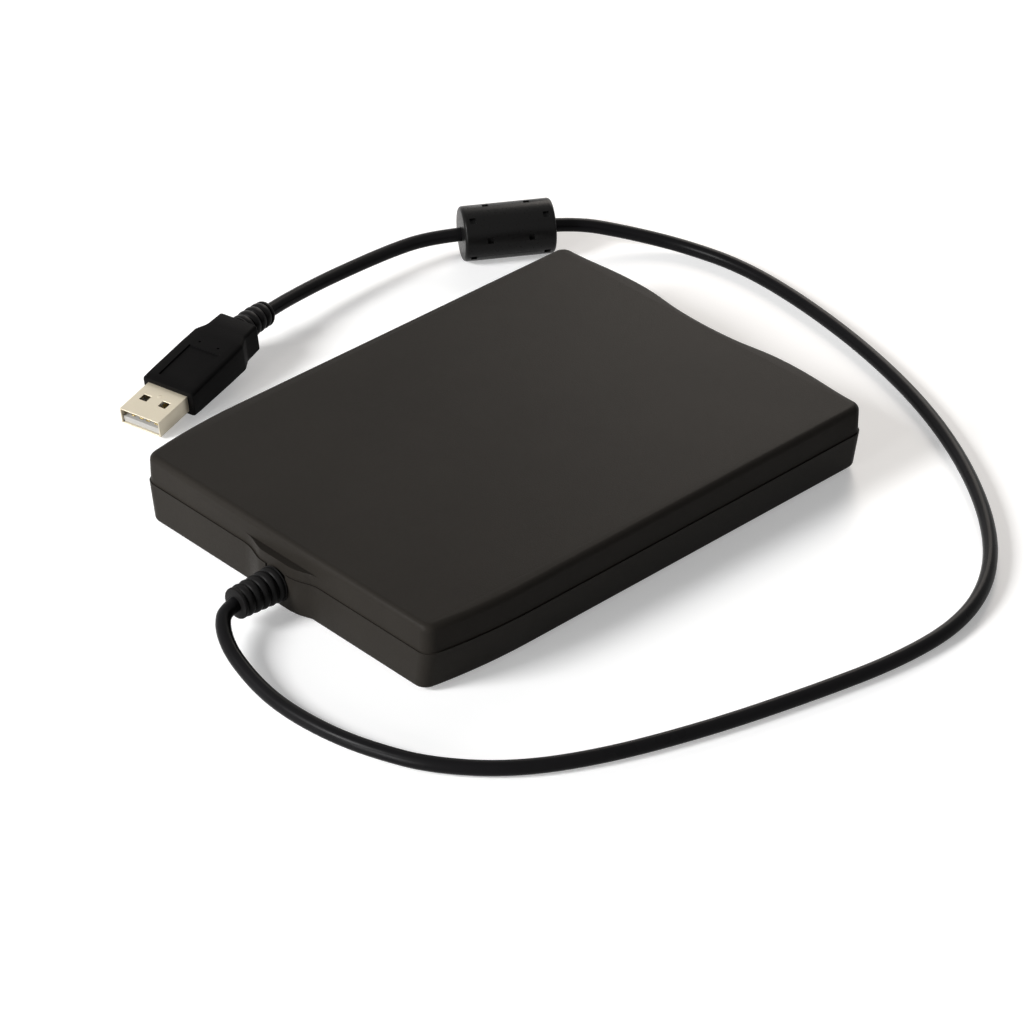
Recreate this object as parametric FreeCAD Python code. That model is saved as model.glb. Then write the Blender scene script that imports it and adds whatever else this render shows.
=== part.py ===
import FreeCAD, Part
import math
import os

from FreeCAD import Vector

# External 3.5 inch floppy drive with a captive USB lead.  Millimetres.  +Z is up, the disk slot
# looks along -Y, the lead leaves along +Y, and z = 0 is the table that the rubber feet stand on.

# ---------------------------------------------------------------- disk and its travel
DISK_WIDTH = 90.0
DISK_LENGTH = 94.0
DISK_THICK = 3.3
DISK_HUB_TO_LEAD = 46.5
DISK_INSET = 6.5
DISK_SIDE_PLAY = 1.0
DISK_SEATED_Z = 7.4
DISK_LIFT = 1.8
DISK_FLOOR_PLAY = 0.45
TRACK_OUTER = 39.5
TRACK_TRAVEL = 14.8

# ---------------------------------------------------------------- running fits and gaps
RUN_GAP = 0.3
SLIDE_GAP = 0.15
PIN_FIT = 0.03
SCREW_FIT = 0.05
SEAT_GAP = 0.1
THROUGH = 1.0

# ---------------------------------------------------------------- sheet metal and boards
SHEET = 0.8
SHIELD_SHEET = 0.4
HOLDER_SHEET = 0.6
SKIRT_SHEET = 0.5
BOARD_THICK = 0.8

# ---------------------------------------------------------------- case
CASE_TOP = 18.4
SEAM_BELOW_TOP = 7.34
FOOT_HEIGHT = 0.8
FOOT_DIAMETER = 9.0
FOOT_FROM_SIDE = 14.0
FOOT_FROM_END = 15.0
WALL = 1.6
SIDE_ROOM = 3.8
REAR_ROOM = 18.0
PLAN_CORNER = 3.5
TOP_ROUND = 1.7
BOTTOM_ROUND = 1.2
UPPER_STEP = 0.35
SIDE_DRAFT = 1.6
FRONT_BOW = 1.2
SCALLOP_DEPTH = 2.1
SCALLOP_HALF = 22.0
REAR_TAPER = 2.4
TAPER_LENGTH = 30.0
HUMP_OUT = 2.0
HUMP_HALF = 5.5
HUMP_FOOT = 14.0
HUMP_BELOW_TOP = 4.6
SLOT_HEIGHT = 4.4
SLOT_SIDE_PLAY = 1.4

# ---------------------------------------------------------------- screws and bosses
CASE_BOSS = 6.0
CASE_SCREW = 2.5
CASE_SCREW_DEPTH = 4.0
CASE_SCREW_FROM_SIDE = 10.0
CASE_SCREW_FROM_REAR = 9.0
DRIVE_SCREW = 2.5
DRIVE_SCREW_FROM_SIDE = 3.7
DRIVE_SCREW_FROM_END = 9.0
BOARD_SCREW = 2.0
BOARD_SCREW_HEAD = 0.8
HEAD_FACTOR = 1.9
HEAD_HEIGHT = 0.36
RECESS_DEPTH = 0.2
RECESS_HALF = 0.6
RECESS_WIDTH = 0.22
COUNTERSINK = 0.6

# ---------------------------------------------------------------- chassis, holder and slide plate
CHASSIS_Z = 3.0
CHASSIS_INSET = 8.0
SHIELD_Z = 15.9
SLIDE_TRAVEL = 4.0
HOLDER_CHANNEL = 4.3
HOLDER_BEHIND_FLAP = 6.4
HOLDER_BEHIND_HUB = 45.0
HOLDER_LIP = 2.5
HOLDER_CUT_SIDE = 12.0
HOLDER_CUT_FRONT = 33.0
HOLDER_CUT_REAR = 17.0
PLATE_ABOVE_HOLDER = 0.4
PLATE_CUT_HALF = 30.0
PLATE_CUT_FRONT = 8.0
PLATE_CUT_REAR = 9.0
LIFT_PIN = 1.2
LIFT_PIN_RISE = 1.2
LIFT_PIN_FRONT = 29.0
LIFT_PIN_REAR = 35.0
SKIRT_BOTTOM = 4.6
TAB_HEIGHT = 2.2
TAB_WIDTH = 3.0
ANVIL_HALF = 2.5
ANVIL_DROP = 3.2
SPRING_LENGTH = 14.1
SPRING_DIAMETER = 3.0
SPRING_WIRE = 0.4
SPRING_FROM_SKIRT = 9.75
SPRING_DROP = 1.7

# ---------------------------------------------------------------- spindle
ROTOR_FROM_TRACK = 4.7
ROTOR_SHEET = 0.8
HUB_DIAMETER = 25.0
HUB_THICK = 0.5
HUB_BELOW_DISK = 0.7
SHAFT_DIAMETER = 4.0
SHAFT_ABOVE_HUB = 1.2
BEARING_DIAMETER = 9.0
BEARING_FLOOR = 0.4
MAGNET_WALL = 1.3
MAGNET_HEIGHT = 0.9
COIL_COUNT = 9
COIL_ROOM = 1.4
COIL_APART = 1.9
COIL_HEIGHT = 1.0
COIL_BORE = 0.4
DRIVE_PIN_RADIUS = 10.0
DRIVE_PIN_DIAMETER = 3.0
DRIVE_PIN_RISE = 1.1

# ---------------------------------------------------------------- heads and their drive
ROD_DIAMETER = 2.4
ROD_X = -14.0
ROD_Z = 5.7
ROD_PAST_SHAFT = 2.5
SHAFT_PAST_HEAD = 2.0
RAIL_X = 14.5
RAIL_WIDTH = 1.2
RAIL_HEIGHT = 1.4
RAIL_Z = 4.9
RAIL_FOOT = 1.5
CLAMP_WIDTH = 4.4
CLAMP_DEPTH = 2.0
CLAMP_OVER_ROD = 0.2
SCREW_X = 20.5
SCREW_Z = 6.0
SCREW_DIAMETER = 2.4
SCREW_LEAD = 3.75
MOTOR_DIAMETER = 9.0
MOTOR_FLAT = 6.0
MOTOR_LENGTH = 11.0
MOTOR_BORE = 3.0
BRACKET_SHEET = 0.8
BRACKET_BASE = 0.56
BRACKET_WIDTH = 4.0
HEAD_SIZE = 6.0
HEAD_GAP = 0.3
HEAD_GAP_DEPTH = 0.4
HEAD_SEAT = 1.2
HEAD_INTO_DISK = 1.5
ARM_OVER_DISK = 0.2
UPPER_HEAD_DEPTH = 1.8
ARM_HALF = 6.0
ARM_REACH = 23.7
ARM_THICK = 1.0
ARM_OVERHANG = 3.0
ARM_SWING = 10.0
ARM_PIN = 1.0
TOWER_DEPTH = 3.0
TOWER_ROOM = 2.5
CARRIAGE_TOP = 7.15
CARRIAGE_BOTTOM = 4.2
CARRIAGE_SIDE = 3.0
FORK_DEPTH = 8.0
FOLLOWER_DEPTH = 3.0
FOLLOWER_HEIGHT = 1.0
SENSOR_WIDTH = 3.4
SENSOR_DEPTH = 6.0
SENSOR_HEIGHT = 2.6
SENSOR_GAP = 1.4
SENSOR_FROM_ROD = 3.6

# ---------------------------------------------------------------- main board and switches
BOARD_FROM_SIDE = 4.9
BOARD_FROM_FRONT = 3.0
BOARD_FROM_REAR = 5.0
BOARD_WELL_LEFT = 8.0
BOARD_WELL_RIGHT = 7.5
BOARD_WELL_FRONT = 3.0
MAIN_SCREW_FROM_SIDE = 4.5
MAIN_SCREW_FROM_FRONT = 20.0
MAIN_SCREW_FROM_REAR = 16.0
SWITCH_WIDTH = 5.0
SWITCH_DEPTH = 4.4
SWITCH_HEIGHT = 2.2
SWITCH_FLOOR = 0.4
SWITCH_FROM_FRONT = 4.0
DISK_IN_FROM_SIDE = 17.0
WRITE_PROTECT_FROM_SIDE = 23.0
PLUNGER_DIAMETER = 1.6
PLUNGER_TRAVEL = 0.8
PLUNGER_STEM = 1.4
CHIP_LEAD = 1.0
CHIP_LEAD_THICK = 0.3
CHIP_STANDOFF = 0.1
MAIN_CHIP_FROM_SIDE = 9.5
SPINDLE_CHIP = 10.0
LOGIC_CHIP = 9.0
DRIVER_CHIP = 7.0
CHIP_HEIGHT = 1.5
DRIVER_CHIP_BACK = 25.0

# ---------------------------------------------------------------- trigger lever
TRIGGER_FROM_HOLDER = 13.0
TRIGGER_FROM_REAR = 12.0
TRIGGER_PIN = 2.0
TRIGGER_BASE = 4.0
TRIGGER_EYE = 5.4
TRIGGER_ARM = 19.0
TRIGGER_WIDTH = 3.2
TRIGGER_Z = 9.4
TRIGGER_SHEET = 1.0
TRIGGER_HEAD = 0.6
TRIGGER_REST = 40.0
TRIGGER_SWING = 38.0

# ---------------------------------------------------------------- front details
BUTTON_FROM_SIDE = 18.0
BUTTON_WIDTH = 14.0
BUTTON_HEIGHT = 4.0
BUTTON_Z = 5.6
BUTTON_INSET = 0.5
BUTTON_FRONT_WALL = 2.4
BUTTON_WALL = 0.9
BUTTON_ROUND = 0.6
LED_FROM_SIDE = 14.0
LED_Z = 5.6
LED_SIZE = 3.0
LED_HEIGHT = 2.2
LENS_DIAMETER = 2.4
LENS_INSET = 0.6
LENS_COLLAR = 4.0
LENS_COLLAR_THICK = 1.1
FLAP_PIN = 1.2
FLAP_PIN_END = 3.2
FLAP_INSET = 5.6
FLAP_Z = 14.5
FLAP_BARREL = 2.2
FLAP_SHEET = 0.8
FLAP_END_PLAY = 0.4
FLAP_SPRING = 1.3
FLAP_EAR = 1.6
FLAP_EAR_DROP = 1.5

# ---------------------------------------------------------------- rear board
USB_BOARD_GAP = 2.2
USB_BOARD_FROM_REAR = 3.6
USB_BOARD_HALF = 34.0
USB_BOARD_Z = 5.2
USB_SCREW_FROM_SIDE = 4.0
USB_SCREW_FROM_FRONT = 6.3
BRIDGE_CHIP = 7.0
BRIDGE_CHIP_X = -18.0
CRYSTAL_X = -7.1
CRYSTAL_WIDTH = 3.8
CRYSTAL_LENGTH = 8.0
CRYSTAL_HEIGHT = 3.0
RIBBON_Z = 7.6
RIBBON_HALF = 10.0
RIBBON_SHEET = 0.3
RIBBON_TAIL = 1.6
SOCKET_DEPTH = 2.6
SOCKET_HEIGHT = 2.4
SOCKET_END = 1.5
HEADER_X = 7.0
HEADER_WIDTH = 10.0
HEADER_DEPTH = 3.6
HEADER_HEIGHT = 3.2
HEADER_FROM_EDGE = 2.0
WIRE_DIAMETER = 0.6
WIRE_PITCH = 0.7
HEADER_PITCH = 2.4
WIRE_END_GAP = 0.35

# ---------------------------------------------------------------- lead, ferrite and plug
CORD_DIAMETER = 3.6
CORD_Z = 7.2
CORD_ON_TABLE = 1.9
BOOT_BASE = 9.0
BOOT_TIP = 7.6
BOOT_NECK = 6.6
BOOT_FLANGE = 9.0
BOOT_FLANGE_THICK = 1.3
BOOT_LENGTH = 12.0
BOOT_RIBS = 5
RIB_DEPTH = 0.7

FERRITE_DIAMETER = 14.4
FERRITE_LENGTH = 24.0
FERRITE_WALL = 1.4
FERRITE_ROUND = 0.9
FERRITE_NOTCH = 1.6
FERRITE_NOTCH_DEPTH = 0.8
FERRITE_NOTCH_NEAR = 5.4
FERRITE_NOTCH_FAR = 9.6
FERRITE_ROWS = 8
FERRITE_FIRST_ROW = 10.0
FERRITE_HEADING = 58.0
FERRITE_LEAD = 18.0

PLUG_HEADING = -77.5
PLUG_PITCH = 8.0
PLUG_TIP_Z = 2.9
SHELL_LENGTH = 11.5
SHELL_BURIED = 6.0
SHELL_WIDTH = 12.0
SHELL_HEIGHT = 4.5
SHELL_SHEET = 0.3
WINDOW_FROM_TIP = 5.2
WINDOW_SIZE = 2.2
WINDOW_OFFSET = 2.9
TONGUE_THICK = 1.6
TONGUE_INSET = 0.6
CONTACT_WIDTH = 1.0
CONTACT_PLACES = (-3.5, -1.0, 1.0, 3.5)
GRIP_LENGTH = 21.0
GRIP_WIDTH = 16.0
GRIP_HEIGHT = 8.0
GRIP_NARROWER = 2.4
GRIP_LOWER = 0.6
GRIP_CHAMFER = 1.2
PANEL_FROM_FRONT = 2.6
PANEL_LENGTH = 11.4
PANEL_HALF = 4.6
PANEL_DEPTH = 0.4
NECK_LENGTH = 8.5
NECK_OVERLAP = 0.5
NECK_WIDTH = 10.6
NECK_HEIGHT = 6.6
PLUG_BOOT_LENGTH = 10.0
PLUG_BOOT_DIAMETER = 6.2
PLUG_BOOT_TAPER = 0.8
PLUG_BOOT_RIBS = 4
PLUG_RIB_DEPTH = 0.6
PLUG_BOOT_RUN = 13.0

# ---------------------------------------------------------------- widths, from the disk outwards
HOLDER_INNER = DISK_WIDTH / 2.0 + DISK_SIDE_PLAY
HOLDER_OUTER = HOLDER_INNER + HOLDER_SHEET
SKIRT_INNER = HOLDER_OUTER + SLIDE_GAP
SKIRT_OUTER = SKIRT_INNER + SKIRT_SHEET
WALL_INNER = SKIRT_OUTER + SLIDE_GAP
CHASSIS_HALF = WALL_INNER + SHEET
CASE_WIDTH = 2.0 * (CHASSIS_HALF + SIDE_ROOM)
SLOT_HALF = DISK_WIDTH / 2.0 + SLOT_SIDE_PLAY
FLAP_HALF = SLOT_HALF - FLAP_END_PLAY
FLAP_PIN_HALF = FLAP_HALF + FLAP_PIN_END
BOARD_HALF = WALL_INNER - BOARD_FROM_SIDE
BUTTON_X = CASE_WIDTH / 2.0 - BUTTON_FROM_SIDE
LED_X = LED_FROM_SIDE - CASE_WIDTH / 2.0
SPRING_X = SKIRT_INNER - SPRING_FROM_SKIRT
TRIGGER_X = TRIGGER_FROM_HOLDER - HOLDER_INNER
DISK_IN_X = DISK_IN_FROM_SIDE - DISK_WIDTH / 2.0
WRITE_PROTECT_X = DISK_WIDTH / 2.0 - WRITE_PROTECT_FROM_SIDE
MAIN_CHIP_X = BOARD_HALF - MAIN_CHIP_FROM_SIDE

# ---------------------------------------------------------------- spindle, inside the innermost track
ROTOR_DIAMETER = 2.0 * (TRACK_OUTER - TRACK_TRAVEL - ROTOR_FROM_TRACK)
COIL_SPACE = ROTOR_DIAMETER / 2.0 - ROTOR_SHEET - MAGNET_WALL - COIL_ROOM
COIL_PITCH = 2.0 * math.sin(math.pi / COIL_COUNT)
COIL_DIAMETER = (COIL_PITCH * COIL_SPACE - COIL_APART) / (1.0 + COIL_PITCH / 2.0)
COIL_RADIUS = COIL_SPACE - COIL_DIAMETER / 2.0

# ---------------------------------------------------------------- depths, from the front to the rear
HUB_BACK = DISK_LENGTH - DISK_HUB_TO_LEAD + DISK_INSET
CHASSIS_BACK = HUB_BACK + TRACK_OUTER + ARM_REACH + TOWER_DEPTH / 2.0 + TOWER_ROOM + SHEET
CASE_DEPTH = CHASSIS_BACK + REAR_ROOM
FRONT_Y = -(CASE_DEPTH + HUMP_OUT) / 2.0
REAR_Y = FRONT_Y + CASE_DEPTH
SPINDLE_Y = FRONT_Y + HUB_BACK
HEAD_Y = SPINDLE_Y + TRACK_OUTER
TOWER_Y = HEAD_Y + ARM_REACH
CHASSIS_FRONT = FRONT_Y + CHASSIS_INSET
CHASSIS_REAR = FRONT_Y + CHASSIS_BACK
BOARD_FRONT = CHASSIS_FRONT + BOARD_FROM_FRONT
BOARD_REAR = CHASSIS_REAR - BOARD_FROM_REAR
SWITCH_Y = BOARD_FRONT + SWITCH_FROM_FRONT
FLAP_Y = FRONT_Y + FLAP_INSET
HOLDER_FRONT = FLAP_Y + HOLDER_BEHIND_FLAP
HOLDER_REAR = SPINDLE_Y + HOLDER_BEHIND_HUB
PLATE_FRONT = HOLDER_FRONT + SLIDE_TRAVEL
PLATE_REAR = CHASSIS_REAR - SHEET - 2.0 * SCREW_FIT - SPRING_LENGTH
LIFT_PIN_YS = (SPINDLE_Y - LIFT_PIN_FRONT, SPINDLE_Y + LIFT_PIN_REAR)
BUTTON_FRONT = FRONT_Y + BUTTON_INSET
TAB_FRONT = FRONT_Y + WALL + FRONT_BOW + SLIDE_TRAVEL + 2.0 * RUN_GAP
SHAFT_END_Y = HEAD_Y - TRACK_TRAVEL - HEAD_SIZE / 2.0 - SHAFT_PAST_HEAD
ROD_FRONT = SHAFT_END_Y - ROD_PAST_SHAFT
ROD_REAR = CHASSIS_REAR - SHEET - SEAT_GAP
MOTOR_Y = ROD_REAR - MOTOR_LENGTH
WELL_FRONT = SHAFT_END_Y - BOARD_WELL_FRONT
TRIGGER_Y = CHASSIS_REAR - TRIGGER_FROM_REAR
USB_BOARD_FRONT = CHASSIS_REAR + USB_BOARD_GAP
USB_BOARD_REAR = REAR_Y - USB_BOARD_FROM_REAR
HEADER_REAR = USB_BOARD_REAR - HEADER_FROM_EDGE
FLANGE_FRONT = REAR_Y - UPPER_STEP - WALL - SEAT_GAP - BOOT_FLANGE_THICK
BOOT_BASE_Y = REAR_Y + HUMP_OUT
BOOT_TIP_Y = BOOT_BASE_Y + BOOT_LENGTH
FERRITE_CENTRE = (81.0, BOOT_TIP_Y - 160.2)
PLUG_TIP = (79.2, BOOT_TIP_Y - 36.6, PLUG_TIP_Z)
PLUG_LENGTH = SHELL_LENGTH + GRIP_LENGTH + NECK_LENGTH + PLUG_BOOT_LENGTH

# ---------------------------------------------------------------- heights
SEAM_Z = CASE_TOP - SEAM_BELOW_TOP
FLOOR_Z = FOOT_HEIGHT + WALL
CEILING_Z = CASE_TOP - WALL
SLOT_Z = SEAM_Z - SLOT_HEIGHT / 2.0
SLOT_TOP = SEAM_Z + SLOT_HEIGHT / 2.0
HUMP_TOP = CASE_TOP - HUMP_BELOW_TOP
SCREW_SEAT_Z = FOOT_HEIGHT + WALL * COUNTERSINK
CASE_SCREW_TOP = SEAM_Z + CASE_SCREW_DEPTH
PAN_Z = CHASSIS_Z + SHEET
BOARD_Z = PAN_Z + SEAT_GAP
BOARD_TOP = BOARD_Z + BOARD_THICK
USB_BOARD_TOP = USB_BOARD_Z + BOARD_THICK
CHANNEL_Z = DISK_SEATED_Z + DISK_LIFT - DISK_FLOOR_PLAY
HOLDER_TOP = CHANNEL_Z + HOLDER_CHANNEL
PLATE_Z = HOLDER_TOP + HOLDER_SHEET + PLATE_ABOVE_HOLDER
PLATE_TOP = PLATE_Z + SKIRT_SHEET
LIFT_PIN_Z = CHANNEL_Z + LIFT_PIN_RISE
HUB_Z = DISK_SEATED_Z - HUB_BELOW_DISK
HUB_TOP = HUB_Z + HUB_THICK
ROTOR_Z = HUB_Z - ROTOR_SHEET
SHAFT_TOP = HUB_TOP + SHAFT_ABOVE_HUB
LOWER_HEAD_TOP = DISK_SEATED_Z + HEAD_INTO_DISK
ARM_Z = DISK_SEATED_Z + DISK_THICK + ARM_OVER_DISK
ARM_AXIS_Z = ARM_Z + ARM_THICK / 2.0

# ---------------------------------------------------------------- places of what repeats
CASE_SCREW_X = CASE_WIDTH / 2.0 - CASE_SCREW_FROM_SIDE
CASE_SCREW_PLACES = [(x, REAR_Y - CASE_SCREW_FROM_REAR) for x in (-CASE_SCREW_X, CASE_SCREW_X)]
DRIVE_SCREW_X = CHASSIS_HALF - DRIVE_SCREW_FROM_SIDE
DRIVE_SCREW_YS = (CHASSIS_FRONT + DRIVE_SCREW_FROM_END, CHASSIS_REAR - DRIVE_SCREW_FROM_END)
DRIVE_SCREW_PLACES = [(x, y) for y in DRIVE_SCREW_YS for x in (-DRIVE_SCREW_X, DRIVE_SCREW_X)]
USB_SCREW_X = USB_BOARD_HALF - USB_SCREW_FROM_SIDE
USB_SCREW_PLACES = [(x, USB_BOARD_FRONT + USB_SCREW_FROM_FRONT) for x in (-USB_SCREW_X, USB_SCREW_X)]
FOOT_X = CASE_WIDTH / 2.0 - FOOT_FROM_SIDE
FOOT_PLACES = [(x, y) for y in (FRONT_Y + FOOT_FROM_END, REAR_Y - FOOT_FROM_END) for x in (-FOOT_X, FOOT_X)]
MAIN_SCREW_X = BOARD_HALF - MAIN_SCREW_FROM_SIDE
MAIN_SCREW_PLACES = [(-MAIN_SCREW_X, BOARD_FRONT + MAIN_SCREW_FROM_FRONT),
                     (MAIN_SCREW_X, BOARD_FRONT + MAIN_SCREW_FROM_FRONT),
                     (-MAIN_SCREW_X, BOARD_REAR - MAIN_SCREW_FROM_REAR)]


# ---------------------------------------------------------------- plain helpers
def box(x0, x1, y0, y1, z0, z1):
    return Part.makeBox(x1 - x0, y1 - y0, z1 - z0, Vector(x0, y0, z0))


def post(x, y, z0, z1, diameter):
    return Part.makeCylinder(diameter / 2.0, z1 - z0, Vector(x, y, z0))


def bar_y(x, z, y0, y1, diameter):
    return Part.makeCylinder(diameter / 2.0, y1 - y0, Vector(x, y0, z), Vector(0, 1, 0))


def bar_x(y, z, x0, x1, diameter):
    return Part.makeCylinder(diameter / 2.0, x1 - x0, Vector(x0, y, z), Vector(1, 0, 0))


def join(pieces):
    whole = pieces[0]
    for piece in pieces[1:]:
        whole = whole.fuse(piece)
    return whole.removeSplitter()


def cut(shape, tools):
    for tool in tools:
        shape = shape.cut(tool)
    return shape


def both_sides(piece):
    """A piece and its mirror image in the plane X = 0."""
    return [piece, piece.mirror(Vector(0, 0, 0), Vector(1, 0, 0))]


def slot_tool(x0, x1, start, end, width):
    """A straight slot through X between two (y, z) centres, with round ends."""
    dy = end[0] - start[0]
    dz = end[1] - start[1]
    length = math.hypot(dy, dz)
    side = Vector(0, -dz / length, dy / length) * (width / 2.0)
    a = Vector(x0, start[0], start[1])
    b = Vector(x0, end[0], end[1])
    face = Part.Face(Part.makePolygon([a - side, b - side, b + side, a + side, a - side]))
    body = face.extrude(Vector(x1 - x0, 0, 0))
    return [body, bar_x(start[0], start[1], x0, x1, width), bar_x(end[0], end[1], x0, x1, width)]


def save(name, shape):
    if not shape.isValid():
        print("INVALID", name)
    shape.exportStep("parts/" + name + ".step")
    print(name, len(shape.Solids), "solids", round(shape.Volume, 2), "mm3")


# ---------------------------------------------------------------- case
def spline(points, start, end):
    """A smooth curve through points, with its direction given at both ends."""
    curve = Part.BSplineCurve()
    curve.interpolate(Points=[Vector(*point) for point in points], InitialTangent=start, FinalTangent=end)
    return curve.toShape()


def front_points(half, inset, z):
    """The bowed front edge with its finger scallop, from left to right."""
    y = FRONT_Y + inset
    shares = ((1.14, 0.0), (0.84, 0.23), (0.5, 0.74), (0.25, 0.93))
    left = [(-half, y + FRONT_BOW, z), (-(half + SCALLOP_HALF) / 2.0, y + FRONT_BOW * 0.25, z)]
    left += [(-SCALLOP_HALF * share, y + SCALLOP_DEPTH * depth, z) for share, depth in shares]
    right = [(-px, py, pz) for px, py, pz in reversed(left)]
    return left + [(0.0, y + SCALLOP_DEPTH, z)] + right


def plan_wire(side_inset, end_inset, corner, z):
    """The case outline seen from above, without the cord hump."""
    half = CASE_WIDTH / 2.0 - side_inset
    rear = REAR_Y - end_inset
    front = FRONT_Y + end_inset + FRONT_BOW
    bend = corner * (1.0 - math.sqrt(0.5))
    start = REAR_Y - TAPER_LENGTH
    lean = 2.0 * math.atan(REAR_TAPER / (rear - corner - start))
    length = rear - corner * (1.0 - math.sin(lean)) - start
    lean = 2.0 * math.atan(REAR_TAPER / length)
    bow = (length ** 2 + REAR_TAPER ** 2) / (2.0 * REAR_TAPER)
    taper_mid = (half - bow * (1.0 - math.cos(lean / 2.0)), start + bow * math.sin(lean / 2.0))
    taper_end = (half - bow * (1.0 - math.cos(lean)), start + bow * math.sin(lean))
    centre = (taper_end[0] - corner * math.cos(lean), taper_end[1] - corner * math.sin(lean))
    turn = (lean + math.pi / 2.0) / 2.0
    corner_mid = (centre[0] + corner * math.cos(turn), centre[1] + corner * math.sin(turn))
    right = [((half - corner, front), (half - bend, front + bend), (half, front + corner)),
             ((half, front + corner), (half, start)),
             ((half, start), taper_mid, taper_end),
             (taper_end, corner_mid, (centre[0], centre[1] + corner))]
    edges = [spline(front_points(half - corner, end_inset, z), Vector(1, 0, 0), Vector(1, 0, 0))]
    edges += [edge_through(points, z) for points in right]
    edges.append(line((centre[0], centre[1] + corner), (-centre[0], centre[1] + corner), z))
    edges += [edge_through([(-x, y) for x, y in reversed(points)], z) for points in reversed(right)]
    return Part.Wire(edges)


def edge_through(points, z):
    return line(*points, z) if len(points) == 2 else arc(*points, z)


def line(start, end, z):
    return Part.makeLine(Vector(start[0], start[1], z), Vector(end[0], end[1], z))


def arc(start, middle, end, z):
    return Part.Arc(Vector(start[0], start[1], z), Vector(middle[0], middle[1], z),
                    Vector(end[0], end[1], z)).toShape()


def prism(side_inset, end_inset, corner, z0, z1):
    """The outline with plumb walls between two heights."""
    return Part.Face(plan_wire(side_inset, end_inset, corner, z0)).extrude(Vector(0, 0, z1 - z0))


def drafted(side_inset, end_inset, corner, z0, z1):
    """The outline with sides that lean in towards the bottom."""
    rise = (SEAM_Z - z0) / (SEAM_Z - FOOT_HEIGHT)
    low = plan_wire(side_inset + SIDE_DRAFT * rise, end_inset, corner, z0)
    high = plan_wire(side_inset, end_inset, corner, z1)
    return Part.makeLoft([low, high], True, True)


def rounded_rim(shape, z, radius):
    """Round the edges of the flat face that lies at height z."""
    rim = [edge for edge in shape.Edges
           if abs(edge.BoundBox.ZMin - z) < 0.001 and abs(edge.BoundBox.ZMax - z) < 0.001]
    return shape.makeFillet(radius, rim)


def hump_wire(inset, z0):
    """Outline of the swelling of the rear wall around the lead, blended into the wall."""
    y = REAR_Y - inset
    half = HUMP_HALF - inset * 0.5
    foot = HUMP_FOOT - inset * 0.5
    middle = (half + foot) / 2.0
    out = HUMP_OUT
    inside = y - WALL
    right = [(foot, y, z0), (middle, y + out * 0.32, z0), (half + 1.2, y + out * 0.86, z0),
             (half - 1.6, y + out, z0)]
    left = [(-px, py, pz) for px, py, pz in reversed(right)]
    level = Vector(-1, 0, 0)
    edges = [spline(right, level, level), Part.makeLine(Vector(*right[-1]), Vector(*left[0])),
             spline(left, level, level)]
    corners = [left[-1], (-foot, inside, z0), (foot, inside, z0), right[0]]
    for start, end in zip(corners, corners[1:]):
        edges.append(Part.makeLine(Vector(*start), Vector(*end)))
    return Part.Wire(edges)


def hump(inset, z0, z1):
    return Part.Face(hump_wire(inset, z0)).extrude(Vector(0, 0, z1 - z0))


def hump_underside():
    """The hump's lowest part, which leans in like the rounded bottom edge beside it."""
    low = hump_wire(BOTTOM_ROUND, FOOT_HEIGHT)
    return Part.makeLoft([low, hump_wire(0.0, FOOT_HEIGHT + BOTTOM_ROUND)], True, True)


def button_window(gap):
    half = BUTTON_WIDTH / 2.0 + gap
    rise = BUTTON_HEIGHT / 2.0 + gap
    return box(BUTTON_X - half, BUTTON_X + half, FRONT_Y - WALL, FRONT_Y + 2.0 * WALL,
               BUTTON_Z - rise, BUTTON_Z + rise)


def disk_slot():
    return box(-SLOT_HALF, SLOT_HALF, FRONT_Y - WALL, FLAP_Y - FLAP_BARREL / 2.0, SLOT_Z, SLOT_TOP)


def neck_notch(gap):
    """Opening for the neck of the boot, round below and open up to the seam."""
    wide = BOOT_NECK + 2.0 * gap
    low = bar_y(0, CORD_Z, REAR_Y - 2.0 * WALL, BOOT_BASE_Y + WALL, wide)
    high = box(-wide / 2.0, wide / 2.0, REAR_Y - 2.0 * WALL, BOOT_BASE_Y + WALL, CORD_Z, SEAM_Z)
    return [low, high]


def lower_case():
    outer = drafted(0.0, 0.0, PLAN_CORNER, FOOT_HEIGHT, SEAM_Z)
    outer = rounded_rim(outer, FOOT_HEIGHT, BOTTOM_ROUND)
    outer = join([outer, hump(0.0, FOOT_HEIGHT + BOTTOM_ROUND, SEAM_Z), hump_underside()])
    inner = drafted(WALL, WALL, PLAN_CORNER - WALL, FLOOR_Z, SEAM_Z)
    shell = outer.cut(inner)
    bosses = [post(x, y, FLOOR_Z - WALL / 2.0, SEAM_Z, CASE_BOSS) for x, y in CASE_SCREW_PLACES]
    bosses += [post(x, y, FLOOR_Z - WALL / 2.0, CHASSIS_Z, CASE_BOSS) for x, y in DRIVE_SCREW_PLACES]
    bosses += [post(x, y, FLOOR_Z - WALL / 2.0, USB_BOARD_Z, CASE_BOSS) for x, y in USB_SCREW_PLACES]
    shell = join([shell] + bosses)
    tools = neck_notch(SEAT_GAP) + [button_window(RUN_GAP), disk_slot()]
    tools.append(bar_y(LED_X, LED_Z, FRONT_Y - WALL, FRONT_Y + 2.0 * WALL,
                       LENS_DIAMETER + 2.0 * SEAT_GAP))
    for places, size in ((CASE_SCREW_PLACES, CASE_SCREW), (DRIVE_SCREW_PLACES, DRIVE_SCREW)):
        for x, y in places:
            tools.append(post(x, y, 0.0, SEAM_Z + WALL, size + 2.0 * SCREW_FIT))
            tools.append(post(x, y, 0.0, SCREW_SEAT_Z, size * HEAD_FACTOR + 2.0 * SEAT_GAP))
    for x, y in USB_SCREW_PLACES:
        tools.append(post(x, y, FLOOR_Z, USB_BOARD_Z + WALL, BOARD_SCREW + 2.0 * SCREW_FIT))
    return cut(shell, tools)


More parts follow.
